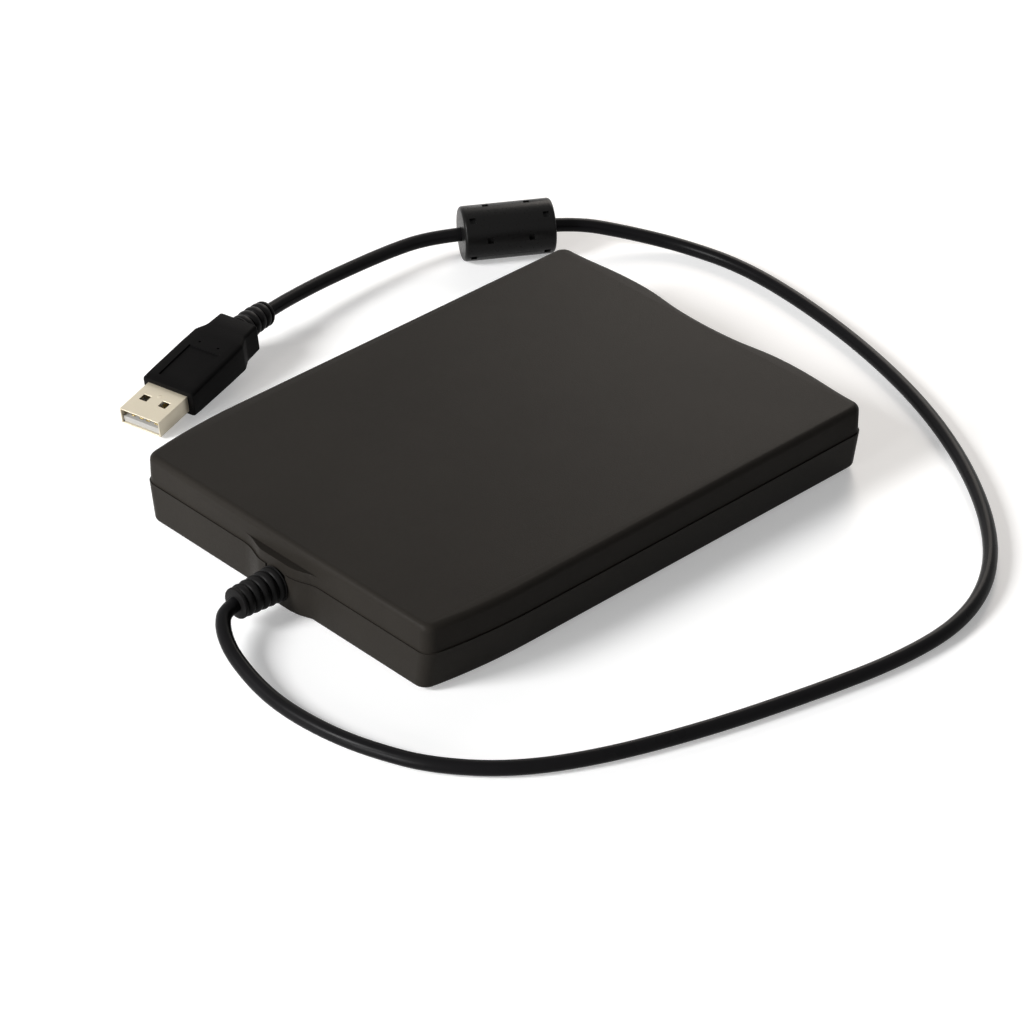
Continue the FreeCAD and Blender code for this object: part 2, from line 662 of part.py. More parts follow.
def upper_cover():
    step = UPPER_STEP
    outer = prism(step, step, PLAN_CORNER - step, SEAM_Z, CASE_TOP)
    outer = rounded_rim(outer, CASE_TOP, TOP_ROUND)
    outer = outer.fuse(hump(step, SEAM_Z, HUMP_TOP))
    inner = prism(step + WALL, step + WALL, PLAN_CORNER - step - WALL, SEAM_Z, CEILING_Z)
    shell = outer.cut(inner)
    bosses = [post(x, y, SEAM_Z, CEILING_Z + WALL / 2.0, CASE_BOSS) for x, y in CASE_SCREW_PLACES]
    ear_out = CASE_WIDTH / 2.0 - step - WALL / 2.0
    ear = box(FLAP_HALF + FLAP_EAR, ear_out, FLAP_Y - FLAP_EAR, FLAP_Y + FLAP_EAR, FLAP_Z - FLAP_EAR_DROP,
              CEILING_Z + WALL / 2.0)
    tongue_half = BOOT_NECK / 2.0
    tongue = box(-tongue_half, tongue_half, REAR_Y - step - WALL, BOOT_BASE_Y - step, CORD_Z,
                 SEAM_Z + WALL)
    shell = join([shell, tongue] + bosses + both_sides(ear))
    neck = bar_y(0, CORD_Z, REAR_Y - 2.0 * WALL, BOOT_BASE_Y, BOOT_NECK + 2.0 * SEAT_GAP)
    pin = bar_x(FLAP_Y, FLAP_Z, -FLAP_PIN_HALF, FLAP_PIN_HALF, FLAP_PIN + 2.0 * PIN_FIT)
    tools = [neck, pin, disk_slot()]
    for x, y in CASE_SCREW_PLACES:
        tools.append(post(x, y, SEAM_Z - WALL, CASE_SCREW_TOP + RUN_GAP, CASE_SCREW + 2.0 * SCREW_FIT))
    return cut(shell, tools)


def screw(x, y, top_z, size):
    """A pan-head screw that goes up into its boss, with a cross recess."""
    head_z = SCREW_SEAT_Z - size * HEAD_HEIGHT
    head = post(x, y, head_z, SCREW_SEAT_Z, size * HEAD_FACTOR)
    shank = post(x, y, SCREW_SEAT_Z, top_z, size)
    half = size * RECESS_HALF
    thin = size * RECESS_WIDTH / 2.0
    deep = head_z + size * RECESS_DEPTH
    arms = [box(x - half, x + half, y - thin, y + thin, head_z - THROUGH, deep),
            box(x - thin, x + thin, y - half, y + half, head_z - THROUGH, deep)]
    return cut(join([head, shank]), arms)


def case_screws():
    return Part.makeCompound([screw(x, y, CASE_SCREW_TOP, CASE_SCREW) for x, y in CASE_SCREW_PLACES])


def drive_screws():
    return Part.makeCompound([screw(x, y, PAN_Z, DRIVE_SCREW) for x, y in DRIVE_SCREW_PLACES])


def board_screw(x, y, seat_z, bottom_z):
    """A small screw that goes down through a board."""
    return join([post(x, y, seat_z, seat_z + BOARD_SCREW_HEAD, BOARD_SCREW * HEAD_FACTOR),
                 post(x, y, bottom_z, seat_z, BOARD_SCREW)])


def board_screws():
    screws = [board_screw(x, y, USB_BOARD_Z + BOARD_THICK, FLOOR_Z + 0.2) for x, y in USB_SCREW_PLACES]
    screws += [board_screw(x, y, BOARD_TOP, CHASSIS_Z) for x, y in MAIN_SCREW_PLACES]
    return Part.makeCompound(screws)


def rubber_feet():
    feet = []
    for x, y in FOOT_PLACES:
        foot = post(x, y, 0.0, FOOT_HEIGHT, FOOT_DIAMETER)
        rim = [edge for edge in foot.Edges if edge.BoundBox.ZMax < 0.001]
        feet.append(foot.makeFillet(FOOT_HEIGHT * 0.4, rim))
    return Part.makeCompound(feet)


# ---------------------------------------------------------------- chassis and boards
def chassis():
    pan = box(-CHASSIS_HALF, CHASSIS_HALF, CHASSIS_FRONT, CHASSIS_REAR, CHASSIS_Z, PAN_Z)
    side = box(WALL_INNER, CHASSIS_HALF, CHASSIS_FRONT, CHASSIS_REAR, CHASSIS_Z, SHIELD_Z)
    back = box(-CHASSIS_HALF, CHASSIS_HALF, CHASSIS_REAR - SHEET, CHASSIS_REAR, CHASSIS_Z, SHIELD_Z)
    tray = join([pan, back] + both_sides(side))
    tools = []
    for y in LIFT_PIN_YS:
        top = (y, LIFT_PIN_Z)
        low = (y, LIFT_PIN_Z - DISK_LIFT)
        for tool in slot_tool(WALL_INNER - THROUGH, CHASSIS_HALF + THROUGH, top, low,
                              LIFT_PIN + 2.0 * SLIDE_GAP):
            tools += both_sides(tool)
    motor_half = MOTOR_DIAMETER / 2.0 + RUN_GAP
    tools.append(box(SCREW_X - motor_half, SCREW_X + motor_half, MOTOR_Y - RUN_GAP,
                     MOTOR_Y + MOTOR_LENGTH + RUN_GAP / 3.0, CHASSIS_Z - THROUGH, PAN_Z + THROUGH))
    tools.append(post(0, SPINDLE_Y, CHASSIS_Z - THROUGH, PAN_Z + THROUGH, BEARING_DIAMETER + 2.0 * SCREW_FIT))
    for x, y in DRIVE_SCREW_PLACES:
        tools.append(post(x, y, CHASSIS_Z - THROUGH, PAN_Z + THROUGH, DRIVE_SCREW + 2.0 * SCREW_FIT))
    for x, y in MAIN_SCREW_PLACES:
        tools.append(post(x, y, CHASSIS_Z - THROUGH, PAN_Z + THROUGH, BOARD_SCREW + 2.0 * SCREW_FIT))
    tools.append(box(-RIBBON_HALF - 2.0, RIBBON_HALF + 2.0, CHASSIS_REAR - 2.0 * SHEET,
                     CHASSIS_REAR + THROUGH, RIBBON_Z - 2.0 * RUN_GAP, RIBBON_Z + RIBBON_SHEET + THROUGH))
    tools.append(post(TRIGGER_X, TRIGGER_Y, CHASSIS_Z - THROUGH, PAN_Z + THROUGH,
                      TRIGGER_PIN + 2.0 * SCREW_FIT))
    return cut(tray, tools)


def top_shield():
    plate = box(-CHASSIS_HALF, CHASSIS_HALF, PLATE_FRONT, CHASSIS_REAR, SHIELD_Z, SHIELD_Z + SHIELD_SHEET)
    window = box(-ARM_HALF - 3.0, ARM_HALF + 3.0, HEAD_Y - TRACK_TRAVEL - ARM_OVERHANG - 3.0,
                 CHASSIS_REAR - 2.0, SHIELD_Z - THROUGH, SHIELD_Z + THROUGH)
    return plate.cut(window)


def main_board():
    board = box(-BOARD_HALF, BOARD_HALF, BOARD_FRONT, BOARD_REAR, BOARD_Z, BOARD_TOP)
    well = box(ROD_X - BOARD_WELL_LEFT, SCREW_X + BOARD_WELL_RIGHT, WELL_FRONT, BOARD_REAR + THROUGH,
               BOARD_Z - THROUGH, BOARD_TOP + THROUGH)
    low = BOARD_Z - THROUGH
    high = BOARD_TOP + THROUGH
    tools = [well, post(0, SPINDLE_Y, low, high, BEARING_DIAMETER + 2.0 * SEAT_GAP)]
    for x, y in MAIN_SCREW_PLACES:
        tools.append(post(x, y, low, high, BOARD_SCREW + 2.0 * SCREW_FIT))
    tools.append(post(TRIGGER_X, TRIGGER_Y, low, high, TRIGGER_BASE + 2.0 * SEAT_GAP))
    return cut(board, tools)


def chip(x, y, z, size, height, pins):
    """A flat chip with a row of flat leads on each of two sides."""
    half = size / 2.0
    body = box(x - half, x + half, y - half, y + half, z + CHIP_STANDOFF, z + height)
    pitch = size / (pins + 1.0)
    quarter = pitch / 4.0
    leads = []
    for index in range(pins):
        place = x - half + pitch * (index + 1)
        for y0, y1 in ((y - half - CHIP_LEAD, y - half + CHIP_LEAD_THICK),
                       (y + half - CHIP_LEAD_THICK, y + half + CHIP_LEAD)):
            leads.append(box(place - quarter, place + quarter, y0, y1, z, z + CHIP_LEAD_THICK))
    return join([body] + leads)


def board_chips():
    driver_y = SPINDLE_Y + DRIVER_CHIP_BACK
    chips = [chip(-MAIN_CHIP_X, SPINDLE_Y, BOARD_TOP, SPINDLE_CHIP, CHIP_HEIGHT, 11),
             chip(MAIN_CHIP_X, SPINDLE_Y, BOARD_TOP, LOGIC_CHIP, CHIP_HEIGHT, 9),
             chip(-MAIN_CHIP_X, driver_y, BOARD_TOP, DRIVER_CHIP, CHIP_HEIGHT, 7)]
    return Part.makeCompound(chips)


def stator_coils():
    coils = []
    for index in range(COIL_COUNT):
        angle = 2.0 * math.pi * index / COIL_COUNT
        x = COIL_RADIUS * math.cos(angle)
        y = SPINDLE_Y + COIL_RADIUS * math.sin(angle)
        ring = post(x, y, BOARD_TOP, BOARD_TOP + COIL_HEIGHT, COIL_DIAMETER)
        coils.append(ring.cut(post(x, y, BOARD_TOP - 1.0, BOARD_TOP + COIL_HEIGHT + 1.0,
                                   COIL_DIAMETER * COIL_BORE)))
    return Part.makeCompound(coils)


def spindle_bearing():
    top = ROTOR_Z - RUN_GAP
    sleeve = post(0, SPINDLE_Y, CHASSIS_Z, top, BEARING_DIAMETER)
    bore = post(0, SPINDLE_Y, CHASSIS_Z + BEARING_FLOOR, top + THROUGH, SHAFT_DIAMETER + 2.0 * PIN_FIT)
    return sleeve.cut(bore)


# ---------------------------------------------------------------- spindle
def spindle_rotor():
    disc = post(0, SPINDLE_Y, ROTOR_Z, ROTOR_Z + ROTOR_SHEET, ROTOR_DIAMETER)
    skirt = post(0, SPINDLE_Y, ROTOR_Z - MAGNET_HEIGHT, ROTOR_Z + ROTOR_SHEET, ROTOR_DIAMETER)
    skirt = skirt.cut(post(0, SPINDLE_Y, ROTOR_Z - MAGNET_HEIGHT - 1.0, ROTOR_Z + ROTOR_SHEET + 1.0,
                           ROTOR_DIAMETER - 2.0 * ROTOR_SHEET))
    cup = join([disc, skirt])
    top = ROTOR_Z + ROTOR_SHEET + THROUGH
    tools = [post(0, SPINDLE_Y, ROTOR_Z - THROUGH, top, SHAFT_DIAMETER)]
    tools.append(post(DRIVE_PIN_RADIUS, SPINDLE_Y, ROTOR_Z - THROUGH, top, DRIVE_PIN_DIAMETER))
    return cut(cup, tools)


def rotor_magnet():
    outer = ROTOR_DIAMETER - 2.0 * ROTOR_SHEET
    ring = post(0, SPINDLE_Y, ROTOR_Z - MAGNET_HEIGHT, ROTOR_Z, outer)
    return ring.cut(post(0, SPINDLE_Y, ROTOR_Z - MAGNET_HEIGHT - 1.0, ROTOR_Z + 1.0,
                         outer - 2.0 * MAGNET_WALL))


def spindle_hub():
    disc = post(0, SPINDLE_Y, HUB_Z, HUB_TOP, HUB_DIAMETER)
    tools = [post(0, SPINDLE_Y, HUB_Z - 1.0, HUB_TOP + 1.0, SHAFT_DIAMETER)]
    tools.append(post(DRIVE_PIN_RADIUS, SPINDLE_Y, HUB_Z - 1.0, HUB_TOP + 1.0,
                      DRIVE_PIN_DIAMETER + 2.0 * PIN_FIT))
    return cut(disc, tools)


def spindle_shaft():
    return post(0, SPINDLE_Y, CHASSIS_Z + BEARING_FLOOR + SEAT_GAP, SHAFT_TOP, SHAFT_DIAMETER)


def drive_pin():
    return post(DRIVE_PIN_RADIUS, SPINDLE_Y, ROTOR_Z, HUB_TOP + DRIVE_PIN_RISE, DRIVE_PIN_DIAMETER)


# ---------------------------------------------------------------- disk holder and slide
def disk_holder():
    z0 = CHANNEL_Z - HOLDER_SHEET
    z1 = HOLDER_TOP + HOLDER_SHEET
    top = box(-HOLDER_OUTER, HOLDER_OUTER, HOLDER_FRONT, HOLDER_REAR, HOLDER_TOP, z1)
    rail = box(HOLDER_INNER, HOLDER_OUTER, HOLDER_FRONT, HOLDER_REAR, z0, z1)
    lip = box(HOLDER_OUTER - HOLDER_LIP, HOLDER_OUTER, HOLDER_FRONT, HOLDER_REAR, z0, CHANNEL_Z)
    pieces = [top] + both_sides(rail) + both_sides(lip)
    for y in LIFT_PIN_YS:
        pieces += both_sides(bar_x(y, LIFT_PIN_Z, HOLDER_INNER, CHASSIS_HALF, LIFT_PIN))
    shell = join(pieces)
    window = box(-ARM_HALF - 1.5, ARM_HALF + 1.5, HEAD_Y - TRACK_TRAVEL - ARM_OVERHANG - 2.0,
                 HOLDER_REAR + 1.0, HOLDER_TOP - 1.0, z1 + 1.0)
    light = box(HOLDER_CUT_SIDE, 3.0 * HOLDER_CUT_SIDE, SPINDLE_Y - HOLDER_CUT_FRONT,
                SPINDLE_Y - HOLDER_CUT_REAR, HOLDER_TOP - THROUGH, z1 + THROUGH)
    return cut(shell, [window] + both_sides(light))


def slide_plate():
    top = box(-SKIRT_OUTER, SKIRT_OUTER, PLATE_FRONT, PLATE_REAR, PLATE_Z, PLATE_TOP)
    skirt = box(SKIRT_INNER, SKIRT_OUTER, PLATE_FRONT, PLATE_REAR, SKIRT_BOTTOM, PLATE_TOP)
    pusher = box(SKIRT_INNER, SKIRT_OUTER, TAB_FRONT, PLATE_FRONT + 1.0, SKIRT_BOTTOM,
                 SKIRT_BOTTOM + TAB_HEIGHT)
    tab = box(BUTTON_X - TAB_WIDTH, SKIRT_OUTER, TAB_FRONT, TAB_FRONT + SKIRT_SHEET, SKIRT_BOTTOM,
              SKIRT_BOTTOM + TAB_HEIGHT)
    anvil = box(SPRING_X - ANVIL_HALF, SPRING_X + ANVIL_HALF, PLATE_REAR - SKIRT_SHEET, PLATE_REAR,
                PLATE_Z - ANVIL_DROP, PLATE_TOP)
    plate = join([top, pusher, tab] + both_sides(skirt) + both_sides(anvil))
    tools = [box(-ARM_HALF - 4.0, ARM_HALF + 4.0, HEAD_Y - TRACK_TRAVEL - ARM_OVERHANG - 3.0,
                 PLATE_REAR + 1.0, PLATE_Z - 1.0, PLATE_TOP + 1.0)]
    tools.append(box(-PLATE_CUT_HALF, PLATE_CUT_HALF, PLATE_FRONT + PLATE_CUT_FRONT,
                     SPINDLE_Y + PLATE_CUT_REAR, PLATE_Z - THROUGH, PLATE_TOP + THROUGH))
    for y in LIFT_PIN_YS:
        start = (y, LIFT_PIN_Z)
        end = (y + SLIDE_TRAVEL, LIFT_PIN_Z - DISK_LIFT)
        for tool in slot_tool(SKIRT_INNER - THROUGH, SKIRT_OUTER + THROUGH, start, end,
                              LIFT_PIN + 2.0 * SLIDE_GAP):
            tools += both_sides(tool)
    return cut(plate, tools)


def slide_springs():
    """Two compression springs that push the slide plate to the front."""
    z = PLATE_Z - SPRING_DROP
    spring = coil_spring(SPRING_X, z, PLATE_REAR + SCREW_FIT, CHASSIS_REAR - SHEET - SCREW_FIT)
    return Part.makeCompound(both_sides(spring))


def coil_spring(x, z, y0, y1):
    """A spring as its plain hollow envelope."""
    outer = bar_y(x, z, y0, y1, SPRING_DIAMETER)
    return outer.cut(bar_y(x, z, y0 - 1.0, y1 + 1.0, SPRING_DIAMETER - 2.0 * SPRING_WIRE))


def eject_button():
    half = BUTTON_WIDTH / 2.0
    rise = BUTTON_HEIGHT / 2.0
    cap = box(BUTTON_X - half, BUTTON_X + half, BUTTON_FRONT, TAB_FRONT, BUTTON_Z - rise, BUTTON_Z + rise)
    front = [edge for edge in cap.Edges if edge.BoundBox.YMax < BUTTON_FRONT + 0.001]
    cap = cap.makeFillet(BUTTON_ROUND, front)
    hollow = box(BUTTON_X - half + BUTTON_WALL, BUTTON_X + half - BUTTON_WALL,
                 BUTTON_FRONT + BUTTON_FRONT_WALL, TAB_FRONT, BUTTON_Z - rise + BUTTON_WALL,
                 BUTTON_Z + rise - BUTTON_WALL)
    rib = box(BUTTON_X - BUTTON_WALL, BUTTON_X + BUTTON_WALL, BUTTON_FRONT + BUTTON_WALL, TAB_FRONT,
              BUTTON_Z - rise + BUTTON_ROUND, BUTTON_Z + rise - BUTTON_ROUND)
    return join([cap.cut(hollow), rib])


# ---------------------------------------------------------------- trigger lever
def trigger_pivot():
    foot = post(TRIGGER_X, TRIGGER_Y, PAN_Z, TRIGGER_Z - SEAT_GAP, TRIGGER_BASE)
    pin = post(TRIGGER_X, TRIGGER_Y, CHASSIS_Z, TRIGGER_Z + TRIGGER_SHEET + TRIGGER_HEAD, TRIGGER_PIN)
    head = post(TRIGGER_X, TRIGGER_Y, TRIGGER_Z + TRIGGER_SHEET + SEAT_GAP,
                TRIGGER_Z + TRIGGER_SHEET + SEAT_GAP + TRIGGER_HEAD, TRIGGER_PIN + 2.0 * TRIGGER_HEAD)
    return join([foot, pin, head])


def trigger_lever():
    arm = box(0, TRIGGER_ARM, -TRIGGER_WIDTH / 2.0, TRIGGER_WIDTH / 2.0, 0, TRIGGER_SHEET)
    eye = post(0, 0, 0, TRIGGER_SHEET, TRIGGER_EYE)
    finger = post(TRIGGER_ARM, 0, 0, TRIGGER_SHEET + TRIGGER_HEAD, TRIGGER_WIDTH)
    lever = join([arm, eye, finger])
    lever = lever.cut(post(0, 0, -1.0, TRIGGER_SHEET + 1.0, TRIGGER_PIN + 2.0 * PIN_FIT))
    lever.rotate(Vector(0, 0, 0), Vector(0, 0, 1), -TRIGGER_REST)
    lever.translate(Vector(TRIGGER_X, TRIGGER_Y, TRIGGER_Z))
    return lever


# ---------------------------------------------------------------- door flap
def flap_pin():
    return bar_x(FLAP_Y, FLAP_Z, -FLAP_PIN_HALF, FLAP_PIN_HALF, FLAP_PIN)


def door_flap():
    barrel = bar_x(FLAP_Y, FLAP_Z, -FLAP_HALF, FLAP_HALF, FLAP_BARREL)
    leaf = box(-FLAP_HALF, FLAP_HALF, FLAP_Y - FLAP_SHEET / 2.0, FLAP_Y + FLAP_SHEET / 2.0,
               SLOT_Z + SEAT_GAP, FLAP_Z)
    bore = bar_x(FLAP_Y, FLAP_Z, -FLAP_HALF - 1.0, FLAP_HALF + 1.0, FLAP_PIN + 2.0 * PIN_FIT)
    return join([barrel, leaf]).cut(bore)


def flap_springs():
    """Torsion springs on the pin ends, as their plain envelopes."""
    start = FLAP_HALF + 2.0 * SEAT_GAP
    coil = bar_x(FLAP_Y, FLAP_Z, start, start + FLAP_SPRING, FLAP_PIN + 2.0 * SLIDE_GAP + 2.0 * SPRING_WIRE)
    coil = coil.cut(bar_x(FLAP_Y, FLAP_Z, FLAP_HALF, FLAP_PIN_HALF, FLAP_PIN + 2.0 * SLIDE_GAP))
    return Part.makeCompound(both_sides(coil))


# ---------------------------------------------------------------- heads
def head_carriage():
    front = HEAD_Y - HEAD_SIZE / 2.0 - 1.5
    rear = TOWER_Y + TOWER_DEPTH / 2.0
    wide = ARM_HALF + CARRIAGE_SIDE
    body = box(-wide, wide, front, rear, CARRIAGE_BOTTOM, CARRIAGE_TOP)
    sleeve = box(ROD_X - 2.4, -ARM_HALF, front, rear, CARRIAGE_BOTTOM, CARRIAGE_TOP)
    fork = box(ARM_HALF, RAIL_X + 1.5 * RAIL_WIDTH, HEAD_Y, HEAD_Y + FORK_DEPTH, CARRIAGE_BOTTOM,
               CARRIAGE_TOP)
    follower = box(ARM_HALF, SCREW_X - SCREW_DIAMETER / 2.0 - SEAT_GAP, HEAD_Y + FORK_DEPTH / 4.0,
                   HEAD_Y + FORK_DEPTH / 4.0 + FOLLOWER_DEPTH, SCREW_Z - FOLLOWER_HEIGHT / 2.0,
                   SCREW_Z + FOLLOWER_HEIGHT / 2.0)
    cheek = box(-ARM_HALF - CARRIAGE_SIDE, -ARM_HALF - RUN_GAP, TOWER_Y - TOWER_DEPTH / 2.0, rear,
                CARRIAGE_TOP - 1.0, ARM_AXIS_Z + 1.4)
    whole = join([body, sleeve, fork, follower] + both_sides(cheek))
    tools = [bar_y(ROD_X, ROD_Z, front - 1.0, rear + 1.0, ROD_DIAMETER + 2.0 * PIN_FIT)]
    tools.append(box(RAIL_X - RAIL_WIDTH / 2.0 - SEAT_GAP, RAIL_X + RAIL_WIDTH / 2.0 + SEAT_GAP,
                     front - 1.0, rear + 1.0, CARRIAGE_BOTTOM - 1.0, RAIL_Z + RAIL_HEIGHT + SEAT_GAP))
    tools.append(bar_x(TOWER_Y, ARM_AXIS_Z, -ARM_HALF - 5.0, ARM_HALF + 5.0, ARM_PIN))
    half = HEAD_SIZE / 2.0
    tools.append(box(-half, half, HEAD_Y - half, HEAD_Y + half, CARRIAGE_TOP - HEAD_SEAT,
                     CARRIAGE_TOP + THROUGH))
    return cut(whole, tools)


def head_block(z0, z1):
    """The ceramic slider of a head, before its gap is cut."""
    half = HEAD_SIZE / 2.0
    return box(-half, half, HEAD_Y - half, HEAD_Y + half, z0, z1)


def lower_head():
    slit = box(-HEAD_GAP / 2.0, HEAD_GAP / 2.0, HEAD_Y - HEAD_SIZE, HEAD_Y + HEAD_SIZE,
               LOWER_HEAD_TOP - HEAD_GAP_DEPTH, LOWER_HEAD_TOP + THROUGH)
    return head_block(CARRIAGE_TOP - HEAD_SEAT, LOWER_HEAD_TOP).cut(slit)


def raised(shape):
    """Swing a piece of the upper arm up to its place with no disk loaded."""
    shape.rotate(Vector(0, TOWER_Y, ARM_AXIS_Z), Vector(1, 0, 0), -ARM_SWING)
    return shape


def upper_head_arm():
    half = HEAD_SIZE / 2.0
    plate = box(-ARM_HALF, ARM_HALF, HEAD_Y - ARM_OVERHANG, TOWER_Y, ARM_Z, ARM_Z + ARM_THICK)
    barrel = bar_x(TOWER_Y, ARM_AXIS_Z, -ARM_HALF, ARM_HALF, ARM_THICK + 1.2)
    window = box(-half + 1.0, half - 1.0, HEAD_Y + half + 3.0, TOWER_Y - 5.0, ARM_Z - 1.0, ARM_Z + 2.0)
    bore = bar_x(TOWER_Y, ARM_AXIS_Z, -ARM_HALF - 1.0, ARM_HALF + 1.0, ARM_PIN + 2.0 * PIN_FIT)
    return raised(cut(join([plate, barrel]), [window, bore]))


def upper_head():
    low = ARM_Z - UPPER_HEAD_DEPTH
    slit = box(-HEAD_GAP / 2.0, HEAD_GAP / 2.0, HEAD_Y - HEAD_SIZE, HEAD_Y + HEAD_SIZE, low - THROUGH,
               low + HEAD_GAP_DEPTH)
    return raised(head_block(low, ARM_Z).cut(slit))


def arm_pin():
    return bar_x(TOWER_Y, ARM_AXIS_Z, -ARM_HALF - CARRIAGE_SIDE, ARM_HALF + CARRIAGE_SIDE, ARM_PIN)


def guide_rod():
    return bar_y(ROD_X, ROD_Z, ROD_FRONT, ROD_REAR, ROD_DIAMETER)


def side_rail():
    half = RAIL_WIDTH / 2.0
    rail = box(RAIL_X - half, RAIL_X + half, SHAFT_END_Y, ROD_REAR, RAIL_Z, RAIL_Z + RAIL_HEIGHT)
    feet = [box(RAIL_X - half, RAIL_X + half, y, y + RAIL_FOOT, PAN_Z, RAIL_Z + RAIL_HEIGHT / 2.0)
            for y in (SHAFT_END_Y, ROD_REAR - RAIL_FOOT)]
    return join([rail] + feet)


def rod_clamps():
    """Two blocks that hold the ends of the guide rod on the chassis."""
    blocks = []
    half = CLAMP_WIDTH / 2.0
    for y in (ROD_FRONT, ROD_REAR - CLAMP_DEPTH):
        block = box(ROD_X - half, ROD_X + half, y, y + CLAMP_DEPTH, PAN_Z,
                    ROD_Z + ROD_DIAMETER / 2.0 + CLAMP_OVER_ROD)
        bore = bar_y(ROD_X, ROD_Z, y - THROUGH, y + CLAMP_DEPTH + THROUGH, ROD_DIAMETER + 2.0 * PIN_FIT)
        blocks.append(block.cut(bore))
    return Part.makeCompound(blocks)


def lead_screw():
    return bar_y(SCREW_X, SCREW_Z, SHAFT_END_Y - 0.5, MOTOR_Y + MOTOR_BORE, SCREW_DIAMETER)


def stepper_motor():
    can = bar_y(SCREW_X, SCREW_Z, MOTOR_Y, MOTOR_Y + MOTOR_LENGTH, MOTOR_DIAMETER)
    half = MOTOR_DIAMETER / 2.0 + 1.0
    trim = MOTOR_FLAT / 2.0
    tools = [box(SCREW_X - half, SCREW_X + half, MOTOR_Y - 1.0, MOTOR_Y + MOTOR_LENGTH + 1.0,
                 SCREW_Z + trim, SCREW_Z + trim + 5.0)]
    tools.append(box(SCREW_X - half, SCREW_X + half, MOTOR_Y - 1.0, MOTOR_Y + MOTOR_LENGTH + 1.0,
                     SCREW_Z - trim - 5.0, SCREW_Z - trim))
    tools.append(bar_y(SCREW_X, SCREW_Z, MOTOR_Y - 1.0, MOTOR_Y + MOTOR_BORE + SEAT_GAP,
                       SCREW_DIAMETER + 2.0 * PIN_FIT))
    return cut(can, tools)


def motor_bracket():
    """A folded bracket that carries the far end of the lead screw and the motor face."""
    inner = SCREW_X + MOTOR_DIAMETER / 2.0 - BRACKET_WIDTH + 2.5
    outer = inner + BRACKET_WIDTH
    front = SHAFT_END_Y - 1.5
    rear = MOTOR_Y - SEAT_GAP
    base = box(SCREW_X + BRACKET_WIDTH / 2.0, outer, front, rear, PAN_Z, PAN_Z + BRACKET_BASE)
    far = box(SCREW_X - BRACKET_WIDTH / 2.0, outer, front, front + BRACKET_SHEET, PAN_Z,
              SCREW_Z + SCREW_DIAMETER / 2.0 - SEAT_GAP)
    near = box(SCREW_X - BRACKET_WIDTH * 0.65, outer, rear - BRACKET_SHEET, rear, PAN_Z,
               SCREW_Z + BRACKET_WIDTH / 2.0)
    tip = bar_y(SCREW_X, SCREW_Z, MOTOR_Y - 2.0, MOTOR_Y + THROUGH, SCREW_DIAMETER + 2.0 * PIN_FIT)
    return join([base, far, near]).cut(tip)


def track_zero_sensor():
    x1 = ROD_X - SENSOR_FROM_ROD
    x0 = x1 - SENSOR_WIDTH
    y0 = HEAD_Y + SENSOR_DEPTH
    side = (SENSOR_WIDTH - SENSOR_GAP) / 2.0
    body = box(x0, x1, y0, y0 + SENSOR_DEPTH, PAN_Z, PAN_Z + SENSOR_HEIGHT)
    gap = box(x0 + side, x1 - side, y0 - THROUGH, y0 + SENSOR_DEPTH + THROUGH, PAN_Z + SENSOR_HEIGHT / 2.0,
              PAN_Z + SENSOR_HEIGHT + THROUGH)
    return body.cut(gap)


# ---------------------------------------------------------------- switches and lamp
def switch_body(x):
    y0 = SWITCH_Y - SWITCH_DEPTH / 2.0
    body = box(x - SWITCH_WIDTH / 2.0, x + SWITCH_WIDTH / 2.0, y0, y0 + SWITCH_DEPTH, BOARD_TOP,
               BOARD_TOP + SWITCH_HEIGHT)
    bore = post(x, SWITCH_Y, BOARD_TOP + SWITCH_FLOOR, BOARD_TOP + SWITCH_HEIGHT + THROUGH,
                PLUNGER_DIAMETER + 2.0 * SLIDE_GAP)
    return body.cut(bore)


def switch_bodies():
    return Part.makeCompound([switch_body(DISK_IN_X), switch_body(WRITE_PROTECT_X)])


def plunger(x):
    top = BOARD_TOP + SWITCH_HEIGHT + PLUNGER_STEM
    low = BOARD_TOP + SWITCH_FLOOR + PLUNGER_TRAVEL + SEAT_GAP
    stem = post(x, SWITCH_Y, low, top, PLUNGER_DIAMETER)
    tip = [edge for edge in stem.Edges if edge.BoundBox.ZMin > top - 0.001]
    return stem.makeFillet(PLUNGER_DIAMETER * 0.3, tip)


def disk_in_plunger():
    return plunger(DISK_IN_X)


def write_protect_plunger():
    return plunger(WRITE_PROTECT_X)


def drive_led():
    """Lamp on the front edge of the main board, behind its lens."""
    y0 = BOARD_FRONT + SEAT_GAP
    return box(LED_X - LED_SIZE / 2.0, LED_X + LED_SIZE / 2.0, y0, y0 + LED_SIZE, BOARD_TOP,
               BOARD_TOP + LED_HEIGHT)


def led_lens():
    """Light pipe from the lamp to the front wall."""
    rod = bar_y(LED_X, LED_Z, FRONT_Y + LENS_INSET, BOARD_FRONT - SEAT_GAP, LENS_DIAMETER)
    seat = FRONT_Y + FRONT_BOW + WALL + SEAT_GAP
    return join([rod, bar_y(LED_X, LED_Z, seat, seat + LENS_COLLAR_THICK, LENS_COLLAR)])


# ---------------------------------------------------------------- rear board
def usb_board():
    board = box(-USB_BOARD_HALF, USB_BOARD_HALF, USB_BOARD_FRONT, USB_BOARD_REAR, USB_BOARD_Z,
                USB_BOARD_Z + BOARD_THICK)
    return cut(board, [post(x, y, USB_BOARD_Z - 1.0, USB_BOARD_Z + 2.0, BOARD_SCREW + 2.0 * SCREW_FIT)
                       for x, y in USB_SCREW_PLACES])


def bridge_chip():
    return chip(BRIDGE_CHIP_X, (USB_BOARD_FRONT + USB_BOARD_REAR) / 2.0, USB_BOARD_TOP, BRIDGE_CHIP,
                CHIP_HEIGHT, 8)


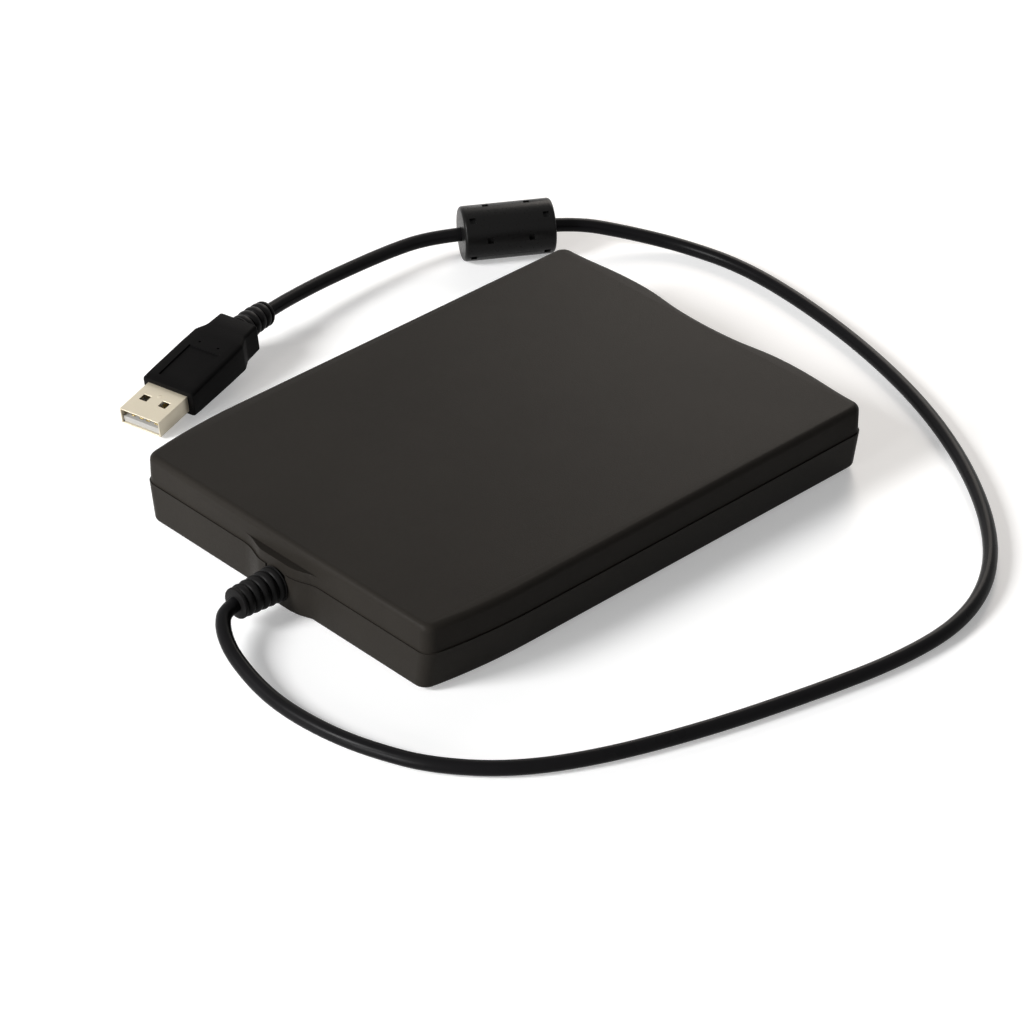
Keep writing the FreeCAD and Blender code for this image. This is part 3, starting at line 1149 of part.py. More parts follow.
def crystal():
    half = CRYSTAL_WIDTH / 2.0
    y0 = USB_BOARD_FRONT + SOCKET_DEPTH + 2.0 * SEAT_GAP
    can = box(CRYSTAL_X - half, CRYSTAL_X + half, y0, y0 + CRYSTAL_LENGTH, USB_BOARD_TOP,
              USB_BOARD_TOP + CRYSTAL_HEIGHT)
    edges = [edge for edge in can.Edges if edge.BoundBox.ZLength > CRYSTAL_HEIGHT / 2.0]
    return can.makeFillet(half * 0.9, edges)


def ribbon_connectors():
    """Socket for the flat ribbon on the rear board."""
    half = RIBBON_HALF + SOCKET_END
    y0 = USB_BOARD_FRONT + SEAT_GAP
    socket = box(-half, half, y0, y0 + SOCKET_DEPTH, USB_BOARD_TOP, USB_BOARD_TOP + SOCKET_HEIGHT)
    slit = box(-RIBBON_HALF - SEAT_GAP, RIBBON_HALF + SEAT_GAP, y0 - THROUGH, y0 + SOCKET_DEPTH * 0.75,
               RIBBON_Z - SCREW_FIT, RIBBON_Z + RIBBON_SHEET + SCREW_FIT)
    return socket.cut(slit)


def ribbon_cable():
    """Flat ribbon from the rear board into the drive."""
    return box(-RIBBON_HALF, RIBBON_HALF, CHASSIS_REAR - RIBBON_TAIL,
               USB_BOARD_FRONT + SOCKET_DEPTH * 0.75, RIBBON_Z, RIBBON_Z + RIBBON_SHEET)


def cord_header():
    half = HEADER_WIDTH / 2.0
    y1 = HEADER_REAR
    return box(HEADER_X - half, HEADER_X + half, y1 - HEADER_DEPTH, y1, USB_BOARD_TOP,
               USB_BOARD_TOP + HEADER_HEIGHT)


def cord_wires():
    """Four insulated wires from the lead's end to the header."""
    wires = []
    for share in (-1.5, -0.5, 0.5, 1.5):
        start = Vector(share * WIRE_PITCH, FLANGE_FRONT - WIRE_END_GAP, CORD_Z)
        end = Vector(HEADER_X + share * HEADER_PITCH, HEADER_REAR + WIRE_END_GAP, CORD_Z)
        direction = end - start
        wires.append(Part.makeCylinder(WIRE_DIAMETER / 2.0, direction.Length, start, direction))
    return Part.makeCompound(wires)


# ---------------------------------------------------------------- lead
def ribbed_cone(length, base, tip, ribs, depth):
    """A tapered strain relief along +X with grooves between its ribs."""
    cone = Part.makeCone(base / 2.0, tip / 2.0, length, Vector(0, 0, 0), Vector(1, 0, 0))
    pitch = length / (ribs + 0.5)
    for index in range(ribs):
        start = pitch * (index + 0.55)
        here = base + (tip - base) * start / length
        ring = Part.makeCylinder(here, pitch * 0.34, Vector(start, 0, 0), Vector(1, 0, 0))
        core = Part.makeCylinder(here / 2.0 - depth, pitch, Vector(start - SEAT_GAP, 0, 0), Vector(1, 0, 0))
        ring = ring.cut(core)
        cone = cone.cut(ring)
    return cone


def cord_boot():
    shape = ribbed_cone(BOOT_LENGTH, BOOT_BASE, BOOT_TIP, BOOT_RIBS, RIB_DEPTH)
    shape.rotate(Vector(0, 0, 0), Vector(0, 0, 1), 90.0)
    shape.translate(Vector(0, BOOT_BASE_Y, CORD_Z))
    neck = bar_y(0, CORD_Z, FLANGE_FRONT, BOOT_BASE_Y, BOOT_NECK)
    flange = bar_y(0, CORD_Z, FLANGE_FRONT, FLANGE_FRONT + BOOT_FLANGE_THICK, BOOT_FLANGE)
    trim = box(-BOOT_FLANGE, BOOT_FLANGE, FLANGE_FRONT - 1.0, REAR_Y - WALL, 0.0, FLOOR_Z + SEAT_GAP)
    return join([shape, neck, flange]).cut(trim)


def route_shape(points, diameter):
    """A round tube along straight runs joined by tangent arcs."""
    vectors = [Vector(*point) for point in points]
    runs = [(b - a).Length for a, b in zip(vectors, vectors[1:])]
    edges = []
    radii = []
    start = vectors[0]
    for index in range(1, len(vectors) - 1):
        into = (vectors[index] - vectors[index - 1]).normalize()
        out = (vectors[index + 1] - vectors[index]).normalize()
        turn = into.getAngle(out)
        reach = 0.45 * min(runs[index - 1], runs[index])
        radius = reach / math.tan(turn / 2.0)
        radii.append(radius)
        first = vectors[index] - into * reach
        last = vectors[index] + out * reach
        inward = (out - into).normalize()
        centre = vectors[index] + inward * math.hypot(radius, reach)
        middle = centre - inward * radius
        edges.append(Part.LineSegment(start, first).toShape())
        edges.append(Part.Arc(first, middle, last).toShape())
        start = last
    edges.append(Part.LineSegment(start, vectors[-1]).toShape())
    path = Part.Wire(edges)
    circle = Part.Circle(vectors[0], vectors[1] - vectors[0], diameter / 2.0)
    section = Part.Wire([circle.toShape()])
    tube = path.makePipeShell([section], True, True)
    ideal = math.pi * diameter ** 2 / 4.0 * path.Length
    print("route length", round(path.Length, 1), "radii", [round(r, 1) for r in radii],
          "volume share", round(tube.Volume / ideal, 4))
    return tube


def heading(angle):
    return (math.cos(math.radians(angle)), math.sin(math.radians(angle)))


def ferrite_point(distance):
    """A point on the ferrite's axis, counted from its middle towards the plug."""
    dx, dy = heading(FERRITE_HEADING)
    return (FERRITE_CENTRE[0] + dx * distance, FERRITE_CENTRE[1] + dy * distance, FERRITE_DIAMETER / 2.0)


def plug_point(distance):
    """A point on the plug's axis, counted from the tip of its shell."""
    dx, dy = heading(PLUG_HEADING)
    flat = math.cos(math.radians(PLUG_PITCH)) * distance
    rise = math.sin(math.radians(PLUG_PITCH)) * distance
    return (PLUG_TIP[0] + dx * flat, PLUG_TIP[1] + dy * flat, PLUG_TIP[2] + rise)


def from_boot(points):
    """Points that are given from the tip of the boot, in the frame of the drive."""
    return [(x, BOOT_TIP_Y + y, z) for x, y, z in points]


def main_route():
    low = CORD_ON_TABLE
    exit_bend = [(0.0, 0.0, CORD_Z), (0.0, 6.5, CORD_Z), (-3.5, 11.8, 5.9), (-9.8, 15.4, 4.2),
                 (-18.5, 16.9, 2.6), (-29.5, 16.4, low)]
    side = [(-43.0, 13.6, low), (-56.5, 10.2, low), (-70.0, 4.2, low), (-83.0, -8.0, low),
            (-93.0, -25.5, low), (-101.5, -49.5, low), (-108.0, -75.0, low), (-112.8, -99.0, low),
            (-112.8, -119.5, low), (-106.0, -137.0, low), (-92.5, -153.0, low)]
    front = [(-71.5, -168.5, low), (-47.0, -181.2, low), (-20.0, -190.3, low), (8.0, -196.0, low),
             (32.0, -197.8, low), (50.0, -194.2, 2.4), (62.5, -186.0, 4.6)]
    return from_boot(exit_bend + side + front) + [ferrite_point(-FERRITE_LEAD), ferrite_point(0.0)]


def plug_route():
    middle = from_boot([(93.8, -129.0, 7.6), (93.2, -112.0, 9.4)])
    return ([ferrite_point(0.0), ferrite_point(FERRITE_LEAD)] + middle
            + [plug_point(PLUG_LENGTH + PLUG_BOOT_RUN), plug_point(PLUG_LENGTH)])


def on_ferrite(shape):
    """Put a piece that is drawn along +X on the ferrite's axis."""
    shape.rotate(Vector(0, 0, 0), Vector(0, 0, 1), FERRITE_HEADING)
    shape.translate(Vector(*ferrite_point(0.0)))
    return shape


def rod_x(x0, x1, diameter):
    return Part.makeCylinder(diameter / 2.0, x1 - x0, Vector(x0, 0, 0), Vector(1, 0, 0))


def ferrite_cover():
    half = FERRITE_LENGTH / 2.0
    body = rod_x(-half, half, FERRITE_DIAMETER)
    rims = [edge for edge in body.Edges if edge.BoundBox.XLength < 0.001]
    body = body.makeFillet(FERRITE_ROUND, rims)
    inner = FERRITE_DIAMETER - 2.0 * FERRITE_WALL
    tools = [rod_x(-half + FERRITE_WALL, half - FERRITE_WALL, inner)]
    tools.append(rod_x(-half - 1.0, half + 1.0, CORD_DIAMETER + 2.0 * SEAT_GAP))
    side = FERRITE_NOTCH / 2.0
    for row in range(FERRITE_ROWS):
        offset = FERRITE_NOTCH_FAR if row % 2 else FERRITE_NOTCH_NEAR
        for x in (-offset, offset):
            notch = box(x - side, x + side, -side, side, FERRITE_DIAMETER / 2.0 - FERRITE_NOTCH_DEPTH,
                        FERRITE_DIAMETER)
            notch.rotate(Vector(0, 0, 0), Vector(1, 0, 0), FERRITE_FIRST_ROW + row * 360.0 / FERRITE_ROWS)
            tools.append(notch)
    return on_ferrite(cut(body, tools))


def ferrite_core():
    half = FERRITE_LENGTH / 2.0 - FERRITE_WALL - SEAT_GAP
    core = rod_x(-half, half, FERRITE_DIAMETER - 2.0 * FERRITE_WALL - 2.0 * SEAT_GAP)
    return on_ferrite(core.cut(rod_x(-half - 1.0, half + 1.0, CORD_DIAMETER + 2.0 * SEAT_GAP)))


def on_plug(shape):
    """Put a piece that is drawn along +X from the shell's tip on the plug's axis."""
    shape.rotate(Vector(0, 0, 0), Vector(0, 1, 0), -PLUG_PITCH)
    shape.rotate(Vector(0, 0, 0), Vector(0, 0, 1), PLUG_HEADING)
    shape.translate(Vector(*PLUG_TIP))
    return shape


def block(x0, x1, width, height):
    return box(x0, x1, -width / 2.0, width / 2.0, -height / 2.0, height / 2.0)


def plug_shell():
    rear = SHELL_LENGTH + SHELL_BURIED
    outer = block(0.0, rear, SHELL_WIDTH, SHELL_HEIGHT)
    inner = block(-THROUGH, rear + THROUGH, SHELL_WIDTH - 2.0 * SHELL_SHEET, SHELL_HEIGHT - 2.0 * SHELL_SHEET)
    half = WINDOW_SIZE / 2.0
    window = box(WINDOW_FROM_TIP, WINDOW_FROM_TIP + WINDOW_SIZE, WINDOW_OFFSET - half, WINDOW_OFFSET + half,
                 -SHELL_HEIGHT, SHELL_HEIGHT)
    other = window.mirror(Vector(0, 0, 0), Vector(0, 1, 0))
    return on_plug(cut(outer, [inner, window, other]))


def tongue_low():
    return SHELL_SHEET + SCREW_FIT - SHELL_HEIGHT / 2.0


def plug_tongue():
    wide = SHELL_WIDTH - 2.0 * SHELL_SHEET - 2.0 * SCREW_FIT
    low = tongue_low()
    tongue = box(TONGUE_INSET, SHELL_LENGTH, -wide / 2.0, wide / 2.0, low, low + TONGUE_THICK)
    root = box(SHELL_LENGTH, SHELL_LENGTH + SHELL_BURIED, -wide / 2.0, wide / 2.0, low, -low)
    half = CONTACT_WIDTH / 2.0 + SEAT_GAP
    bed = low + TONGUE_THICK - 2.0 * SEAT_GAP
    tools = [box(TONGUE_INSET + THROUGH, SHELL_LENGTH + THROUGH, y - half, y + half, bed, bed + THROUGH)
             for y in CONTACT_PLACES]
    return on_plug(cut(join([tongue, root]), tools))


def plug_contacts():
    half = CONTACT_WIDTH / 2.0
    bed = tongue_low() + TONGUE_THICK - 2.0 * SEAT_GAP
    front = TONGUE_INSET + THROUGH + SEAT_GAP
    return on_plug(Part.makeCompound([box(front, SHELL_LENGTH - SEAT_GAP, y - half, y + half, bed,
                                          bed + SHELL_SHEET) for y in CONTACT_PLACES]))


def plug_grip():
    front = SHELL_LENGTH
    waist = front + GRIP_LENGTH
    rear = waist + NECK_LENGTH
    grip = tapered_block(front, waist, GRIP_WIDTH, GRIP_HEIGHT, GRIP_WIDTH - GRIP_NARROWER,
                         GRIP_HEIGHT - GRIP_LOWER)
    neck = tapered_block(waist - NECK_OVERLAP, rear, NECK_WIDTH - 2.0 * PANEL_DEPTH, NECK_HEIGHT, NECK_WIDTH,
                         NECK_HEIGHT)
    tools = [block(front - THROUGH, front + SHELL_BURIED + SEAT_GAP, SHELL_WIDTH + 2.0 * SEAT_GAP,
                   SHELL_HEIGHT + 2.0 * SEAT_GAP)]
    start = front + PANEL_FROM_FRONT
    for face in (-1.0, 1.0):
        middle = face * (GRIP_HEIGHT / 2.0 - PANEL_DEPTH + GRIP_CHAMFER)
        tools.append(box(start, start + PANEL_LENGTH, -PANEL_HALF, PANEL_HALF, middle - GRIP_CHAMFER,
                         middle + GRIP_CHAMFER))
    return on_plug(cut(join([grip, neck]), tools))


def tapered_block(x0, x1, width0, height0, width1, height1):
    """A block between two rectangles with its long edges cut off."""
    wires = []
    trim = GRIP_CHAMFER
    for x, width, height in ((x0, width0, height0), (x1, width1, height1)):
        half = width / 2.0
        rise = height / 2.0
        corners = [(-half, -rise + trim), (-half + trim, -rise), (half - trim, -rise), (half, -rise + trim),
                   (half, rise - trim), (half - trim, rise), (-half + trim, rise), (-half, rise - trim)]
        corners.append(corners[0])
        wires.append(Part.makePolygon([Vector(x, y, z) for y, z in corners]))
    return Part.makeLoft(wires, True, True)


def plug_boot():
    shape = ribbed_cone(PLUG_BOOT_LENGTH, PLUG_BOOT_DIAMETER, PLUG_BOOT_DIAMETER - PLUG_BOOT_TAPER,
                        PLUG_BOOT_RIBS, PLUG_RIB_DEPTH)
    shape.translate(Vector(SHELL_LENGTH + GRIP_LENGTH + NECK_LENGTH, 0, 0))
    return on_plug(shape)


# ---------------------------------------------------------------- all nodes
def main():
    os.makedirs("parts", exist_ok=True)
    builders = [lower_case, upper_cover, rubber_feet, case_screws, drive_screws, board_screws, chassis,
                top_shield, main_board, board_chips, stator_coils, spindle_bearing, spindle_rotor,
                rotor_magnet, spindle_hub, spindle_shaft, drive_pin, disk_holder, slide_plate,
                slide_springs, eject_button, trigger_pivot, trigger_lever, door_flap, flap_pin,
                flap_springs, head_carriage, lower_head, upper_head_arm, upper_head, arm_pin, guide_rod,
                side_rail, rod_clamps, lead_screw, stepper_motor, motor_bracket, track_zero_sensor,
                switch_bodies, disk_in_plunger, write_protect_plunger, drive_led, led_lens, usb_board,
                bridge_chip, crystal, ribbon_connectors, ribbon_cable, cord_header, cord_wires, cord_boot,
                ferrite_cover, ferrite_core, plug_shell, plug_tongue, plug_contacts, plug_grip, plug_boot]
    for builder in builders:
        save(builder.__name__, builder())
    save("cord_main", route_shape(main_route(), CORD_DIAMETER))
    save("cord_plug_end", route_shape(plug_route(), CORD_DIAMETER))


main()
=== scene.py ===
"""External 3.5 inch floppy drive with its captive lead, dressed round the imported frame.

The frame is in metres: +Z is up, the disk slot looks along -Y, the lead leaves along +Y, and the floor
is z = 0.  What is drawn here is drawn in millimetres and then put in the frame.
"""

import logging
import math
from dataclasses import dataclass
from enum import Enum

import bmesh
import bpy
from mathutils import Matrix, Vector


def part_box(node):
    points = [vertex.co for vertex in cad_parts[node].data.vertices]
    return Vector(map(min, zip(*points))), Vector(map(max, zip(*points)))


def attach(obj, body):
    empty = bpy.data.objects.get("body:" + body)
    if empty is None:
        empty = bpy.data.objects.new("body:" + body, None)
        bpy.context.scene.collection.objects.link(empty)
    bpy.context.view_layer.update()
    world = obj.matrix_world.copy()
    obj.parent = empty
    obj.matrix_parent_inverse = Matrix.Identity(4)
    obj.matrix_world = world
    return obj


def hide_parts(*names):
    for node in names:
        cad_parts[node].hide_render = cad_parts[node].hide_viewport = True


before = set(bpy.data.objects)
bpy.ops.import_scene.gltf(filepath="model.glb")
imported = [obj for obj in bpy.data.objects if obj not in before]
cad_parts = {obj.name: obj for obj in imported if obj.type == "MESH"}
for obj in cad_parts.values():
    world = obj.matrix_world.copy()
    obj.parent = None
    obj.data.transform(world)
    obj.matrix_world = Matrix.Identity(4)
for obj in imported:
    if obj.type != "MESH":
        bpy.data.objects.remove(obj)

MM = 0.001
LOG = logging.getLogger("drive")

Colour = tuple[float, float, float]
Point = tuple[float, float, float]
Piece = bpy.types.Object
Socket = bpy.types.NodeSocket


class Body(Enum):
    """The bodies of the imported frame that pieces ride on."""

    ROOT = "root"
    HOLDER = "holder"
    EJECTOR = "ejector"
    SPINDLE = "spindle"
    TRIGGER = "trigger"
    FLAP = "flap"
    CARRIAGE = "carriage"
    HEAD_ARM = "head_arm"
    SCREW = "screw"
    DISK_SWITCH = "disk_switch"
    PROTECT_SWITCH = "protect_switch"


# -------- node trees
# The Mix node's sockets in its colour mode: its other modes have sockets of the same names.
MIX_FACTOR, MIX_FIRST, MIX_SECOND, MIX_RESULT = 0, 6, 7, 2


def fill(node: bpy.types.Node, **values: object) -> None:
    """Set plain values on a node's sockets.

    Args:
        node: The node.
        **values: The values by the socket's name, with _ for a space in it.
    """
    for key, value in values.items():
        node.inputs[key.replace("_", " ")].default_value = value


class NodeBench:
    """A material's node tree with short ways to add the nodes that the finishes share."""

    def __init__(self, name: str) -> None:
        """Start an empty tree with a Principled shader joined to the output.

        Args:
            name: The material's name.
        """
        self.material = bpy.data.materials.new(name)
        self.material.use_nodes = True
        self.tree = self.material.node_tree
        self.tree.nodes.clear()
        self.output = self.tree.nodes.new("ShaderNodeOutputMaterial")
        self.shader = self.tree.nodes.new("ShaderNodeBsdfPrincipled")
        self.tree.links.new(self.shader.outputs["BSDF"], self.output.inputs["Surface"])

    def add(self, kind: str, **values: object) -> bpy.types.Node:
        """Add a node.

        Args:
            kind: The node's type name.
            **values: Attributes of the node.

        Returns:
            The new node.
        """
        node = self.tree.nodes.new(kind)
        for key, value in values.items():
            setattr(node, key, value)
        return node

    def link(self, source: Socket, target: Socket) -> None:
        """Join two sockets."""
        self.tree.links.new(source, target)

    def place(self, stretch: Point = (1.0, 1.0, 1.0)) -> Socket:
        """Object coordinates through a Mapping node.

        Args:
            stretch: Scale along each axis.

        Returns:
            The vector socket.
        """
        coordinates = self.add("ShaderNodeTexCoord")
        mapping = self.add("ShaderNodeMapping")
        fill(mapping, Scale=stretch)
        self.link(coordinates.outputs["Object"], mapping.inputs["Vector"])
        return mapping.outputs["Vector"]

    def noise(self, vector: Socket, scale: float, detail: float = 3.0, roughness: float = 0.55) -> Socket:
        """A noise pattern.

        Args:
            vector: Where the pattern is read.
            scale: Features per metre.
            detail: Octaves.
            roughness: Share of the fine octaves.

        Returns:
            The factor socket.
        """
        node = self.add("ShaderNodeTexNoise")
        fill(node, Scale=scale, Detail=detail, Roughness=roughness)
        self.link(vector, node.inputs["Vector"])
        return node.outputs["Fac"]

    def cells(self, vector: Socket, scale: float) -> Socket:
        """A pattern of cells, as the distance from the middle of each.

        Args:
            vector: Where the pattern is read.
            scale: Cells per metre.

        Returns:
            The distance socket.
        """
        node = self.add("ShaderNodeTexVoronoi")
        fill(node, Scale=scale)
        self.link(vector, node.inputs["Vector"])
        return node.outputs["Distance"]

    def spread(self, source: Socket, low: float = 0.0, high: float = 1.0, start: float = 0.3,
               end: float = 0.7) -> Socket:
        """Map a pattern from start..end to low..high.

        Args:
            source: The pattern.
            low: Value at start.
            high: Value at end.
            start: Lower bound of the pattern.
            end: Upper bound of the pattern.

        Returns:
            The result socket.
        """
        node = self.add("ShaderNodeMapRange")
        fill(node, From_Min=start, From_Max=end, To_Min=low, To_Max=high)
        self.link(source, node.inputs["Value"])
        return node.outputs["Result"]

    def tint(self, factor: Socket, first: Colour, second: Colour) -> None:
        """Colour the surface by a pattern.

        Args:
            factor: The pattern, from 0 to 1.
            first: Colour at 0.
            second: Colour at 1.
        """
        node = self.add("ShaderNodeMix", data_type="RGBA")
        node.inputs[MIX_FIRST].default_value = (*first, 1.0)
        node.inputs[MIX_SECOND].default_value = (*second, 1.0)
        self.link(factor, node.inputs[MIX_FACTOR])
        self.link(node.outputs[MIX_RESULT], self.shader.inputs["Base Color"])

    def bump(self, height: Socket, depth: float) -> None:
        """Raise the surface by a pattern.

        Args:
            height: The pattern.
            depth: Height of the relief in metres.
        """
        node = self.add("ShaderNodeBump")
        fill(node, Distance=depth)
        self.link(height, node.inputs["Height"])
        self.link(node.outputs["Normal"], self.shader.inputs["Normal"])

    def set(self, **values: object) -> None:
        """Set plain values on the shader's sockets, with _ for a space in a name."""
        fill(self.shader, **values)


def shade(colour: Colour, share: float) -> Colour:
    """A colour made darker or lighter by a share."""
    return tuple(min(1.0, part * share) for part in colour)


# -------- finishes
@dataclass(frozen=True)
class Finish:
    """What all finishes share.  The sheen is how far the roughness goes down and up."""

    name: str
    colour: Colour
    roughness: float = 0.5
    sheen: tuple[float, float] = (0.05, 0.08)

    def material(self) -> bpy.types.Material:
        """The finish as a material, made once.

        Returns:
            The material.
        """
        found = bpy.data.materials.get(self.name)
        if found is not None:
            return found
        bench = NodeBench(self.name)
        self.dress(bench)
        return bench.material

    def dress(self, bench: NodeBench) -> None:
        """Fill the node tree."""
        raise NotImplementedError

    def tint(self, bench: NodeBench, pattern: Socket, dark: float, light: float) -> None:
        """Let the colour follow a pattern.

        Args:
            bench: The node tree.
            pattern: The pattern, from 0 to 1.
            dark: Share of the colour at 0.
            light: Share of the colour at 1.
        """
        bench.tint(pattern, shade(self.colour, dark), shade(self.colour, light))

    def gloss(self, bench: NodeBench, pattern: Socket) -> None:
        """Let the roughness follow a pattern.

        Args:
            bench: The node tree.
            pattern: The pattern.
        """
        down, rise = self.sheen
        rough = bench.spread(pattern, self.roughness - down, self.roughness + rise)
        bench.link(rough, bench.shader.inputs["Roughness"])


@dataclass(frozen=True)
class Moulded(Finish):
    """Injection-moulded plastic with a spark-eroded skin."""

    sheen: tuple[float, float] = (0.05, 0.07)
    grain: float = 2600.0
    patches: float = 35.0
    relief: float = 0.00003
    mottle: float = 0.08
    specular: float = 0.5

    def dress(self, bench: NodeBench) -> None:
        """Fine pits, faint mottling and a little unevenness in the sheen."""
        where = bench.place()
        broad = bench.spread(bench.noise(where, self.patches, detail=4.0))
        fine = bench.noise(where, self.grain, roughness=0.6)
        self.tint(bench, broad, dark=1.0 - self.mottle, light=1.0 + self.mottle)
        self.gloss(bench, fine)
        bench.bump(fine, self.relief)
        bench.set(Specular_IOR_Level=self.specular)


@dataclass(frozen=True)
class Elastomer(Finish):
    """Soft PVC or rubber with a dull sheen."""

    sheen: tuple[float, float] = (0.06, 0.06)
    grain: float = 900.0
    patches: float = 60.0
    relief: float = 0.00002
    specular: float = 0.3

    def dress(self, bench: NodeBench) -> None:
        """Soft low relief, with dust and rub marks in the roughness."""
        where = bench.place()
        fine = bench.noise(where, self.grain, detail=4.0)
        broad = bench.noise(where, self.patches)
        self.tint(bench, bench.spread(broad), dark=0.85, light=1.2)
        self.gloss(bench, broad)
        bench.bump(fine, self.relief)
        bench.set(Specular_IOR_Level=self.specular)


@dataclass(frozen=True)
class Rolled(Finish):
    """Rolled or plated sheet metal with its grain along one axis."""

    sheen: tuple[float, float] = (0.08, 0.1)
    grain: Point = (60.0, 2600.0, 2600.0)
    patches: float = 45.0
    flakes: float = 220.0
    relief: float = 0.000004
    mottle: float = 0.1
    spangle: float = 0.0
    metal: float = 1.0

    def dress(self, bench: NodeBench) -> None:
        """Rolling lines, and zinc spangle where the sheet has it."""
        lines = bench.noise(bench.place(self.grain), 1.0, detail=5.0, roughness=0.6)
        where = bench.place()
        patch = bench.cells(where, self.flakes) if self.spangle else bench.noise(where, self.patches)
        depth = self.mottle + self.spangle
        tone = bench.spread(patch, start=0.1, end=0.8)
        self.tint(bench, tone, dark=1.0 - depth, light=1.0 + depth * 0.5)
        self.gloss(bench, lines)
        bench.bump(lines, self.relief)
        bench.set(Metallic=self.metal)


@dataclass(frozen=True)
class Ground(Finish):
    """Turned or ground metal with fine rings."""

    axis: int = 1
    across: float = 150.0
    along: float = 9000.0
    patches: float = 120.0
    relief: float = 0.000003

    def dress(self, bench: NodeBench) -> None:
        """Turning marks along the axis and a trace of oil."""
        stretch = [self.across] * 3
        stretch[self.axis] = self.along
        rings = bench.noise(bench.place(tuple(stretch)), 1.0)
        film = bench.noise(bench.place(), self.patches)
        self.tint(bench, bench.spread(film), dark=0.86, light=1.0)
        self.gloss(bench, rings)
        bench.bump(rings, self.relief)
        bench.set(Metallic=1.0)


@dataclass(frozen=True)
class SolderMask(Finish):
    """Green board lacquer over copper tracks."""

    track: Colour = (0.02, 0.1, 0.042)
    fabric: float = 700.0
    relief: float = 0.00003

    def dress(self, bench: NodeBench) -> None:
        """Tracks that stand slightly proud under the lacquer."""
        where = bench.place()
        brick = bench.add("ShaderNodeTexBrick", offset=0.37, squash=1.6)
        fill(brick, Scale=110.0, Mortar_Size=0.035, Mortar_Smooth=0.2, Row_Height=0.13, Brick_Width=1.3)
        bench.link(where, brick.inputs["Vector"])
        lines = brick.outputs["Fac"]
        bench.tint(lines, self.colour, self.track)
        self.gloss(bench, bench.noise(where, self.fabric, detail=2.0))
        bench.bump(lines, self.relief)
        bench.set(Coat_Weight=0.4, Coat_Roughness=0.2)


@dataclass(frozen=True)
class Sintered(Finish):
    """Pressed and fired ferrite, bonded magnet or ceramic."""

    sheen: tuple[float, float] = (0.08, 0.08)
    pores: float = 3200.0
    specks: float = 1500.0
    relief: float = 0.00002

    def dress(self, bench: NodeBench) -> None:
        """Pores and speckle."""
        where = bench.place()
        speck = bench.noise(where, self.specks, detail=4.0)
        self.tint(bench, bench.spread(speck), dark=0.8, light=1.25)
        self.gloss(bench, speck)
        bench.bump(bench.cells(where, self.pores), self.relief)


@dataclass(frozen=True)
class Lens(Finish):
    """Clear tinted light pipe."""

    sheen: tuple[float, float] = (0.0, 0.05)
    grain: Point = (200.0, 200.0, 900.0)

    def dress(self, bench: NodeBench) -> None:
        """Clear plastic with faint flow lines."""
        flow = bench.noise(bench.place(self.grain), 1.0, detail=2.0)
        self.tint(bench, bench.spread(flow), dark=0.92, light=1.0)
        self.gloss(bench, flow)
        bench.set(Transmission_Weight=0.85, IOR=1.49)


CASE_SKIN = Moulded("case_skin", (0.0175, 0.0155, 0.0133), 0.39, specular=0.03)
DOOR_SKIN = Moulded("door_skin", (0.020, 0.0187, 0.0175), 0.42, specular=0.08)
BUTTON_SKIN = Moulded("button_skin", (0.022, 0.0207, 0.0195), 0.45, specular=0.08)
GREY_CARRIAGE = Moulded("carriage_moulding", (0.10, 0.10, 0.105), 0.5, relief=0.00004, mottle=0.2)
ACETAL = Moulded("white_acetal", (0.78, 0.76, 0.70), 0.4, relief=0.000015, mottle=0.03)
EPOXY = Moulded("chip_epoxy", (0.022, 0.022, 0.024), 0.42, mottle=0.12)
FILM = Moulded("ribbon_film", (0.80, 0.79, 0.74), 0.3, relief=0.000004, mottle=0.03)
WIRE_SKINS = {
    "wire_power": Moulded("red_insulation", (0.55, 0.04, 0.03), 0.35, relief=0.000005),
    "wire_data_minus": Moulded("white_insulation", (0.80, 0.80, 0.78), 0.35, relief=0.000005),
    "wire_data_plus": Moulded("green_insulation", (0.03, 0.32, 0.08), 0.35, relief=0.000005),
    "wire_ground": Moulded("black_insulation", (0.02, 0.02, 0.02), 0.35, relief=0.000005),
}
TONGUE_SKIN = Moulded("tongue_moulding", (0.32, 0.315, 0.30), 0.42, relief=0.00001, mottle=0.04)
LAMP = Moulded("lamp_epoxy", (0.15, 0.5, 0.2), 0.2, relief=0.000003)
CORD_SKIN = Elastomer("cord_jacket", (0.005, 0.0048, 0.0052), 0.30, relief=0.000008, specular=0.05)
BOOT_SKIN = Elastomer("boot_rubber", (0.006, 0.0058, 0.0058), 0.40, specular=0.06)
GRIP_SKIN = Elastomer("grip_overmould", (0.0045, 0.0043, 0.0043), 0.46, grain=1800.0, relief=0.00003,
                      specular=0.02)
FOOT_SKIN = Elastomer("foot_rubber", (0.045, 0.045, 0.046), 0.8)
FERRITE_SKIN = Moulded("ferrite_cover_skin", (0.0055, 0.0053, 0.0052), 0.30, grain=1200.0, relief=0.00001,
                       specular=0.08)
ZINC = Rolled("zinc_sheet", (0.60, 0.61, 0.63), 0.38, spangle=0.12)
TIN = Rolled("tin_shield", (0.66, 0.67, 0.68), 0.34, grain=(2600.0, 60.0, 2600.0))
STAINLESS = Rolled("stainless_sheet", (0.58, 0.58, 0.59), 0.32)
NICKEL = Rolled("nickel_shell", (0.60, 0.54, 0.42), 0.36, grain=(2400.0, 90.0, 2400.0), relief=0.0000004,
                metal=0.5)
SCREW_STEEL = Ground("screw_steel", (0.55, 0.55, 0.57), 0.32, axis=2)
BRIGHT_STEEL = Ground("ground_steel", (0.74, 0.74, 0.76), 0.18)
SPRING_WIRE = Ground("spring_wire", (0.5, 0.5, 0.52), 0.28)
ROTOR_STEEL = Ground("rotor_steel", (0.64, 0.64, 0.66), 0.25, axis=2)
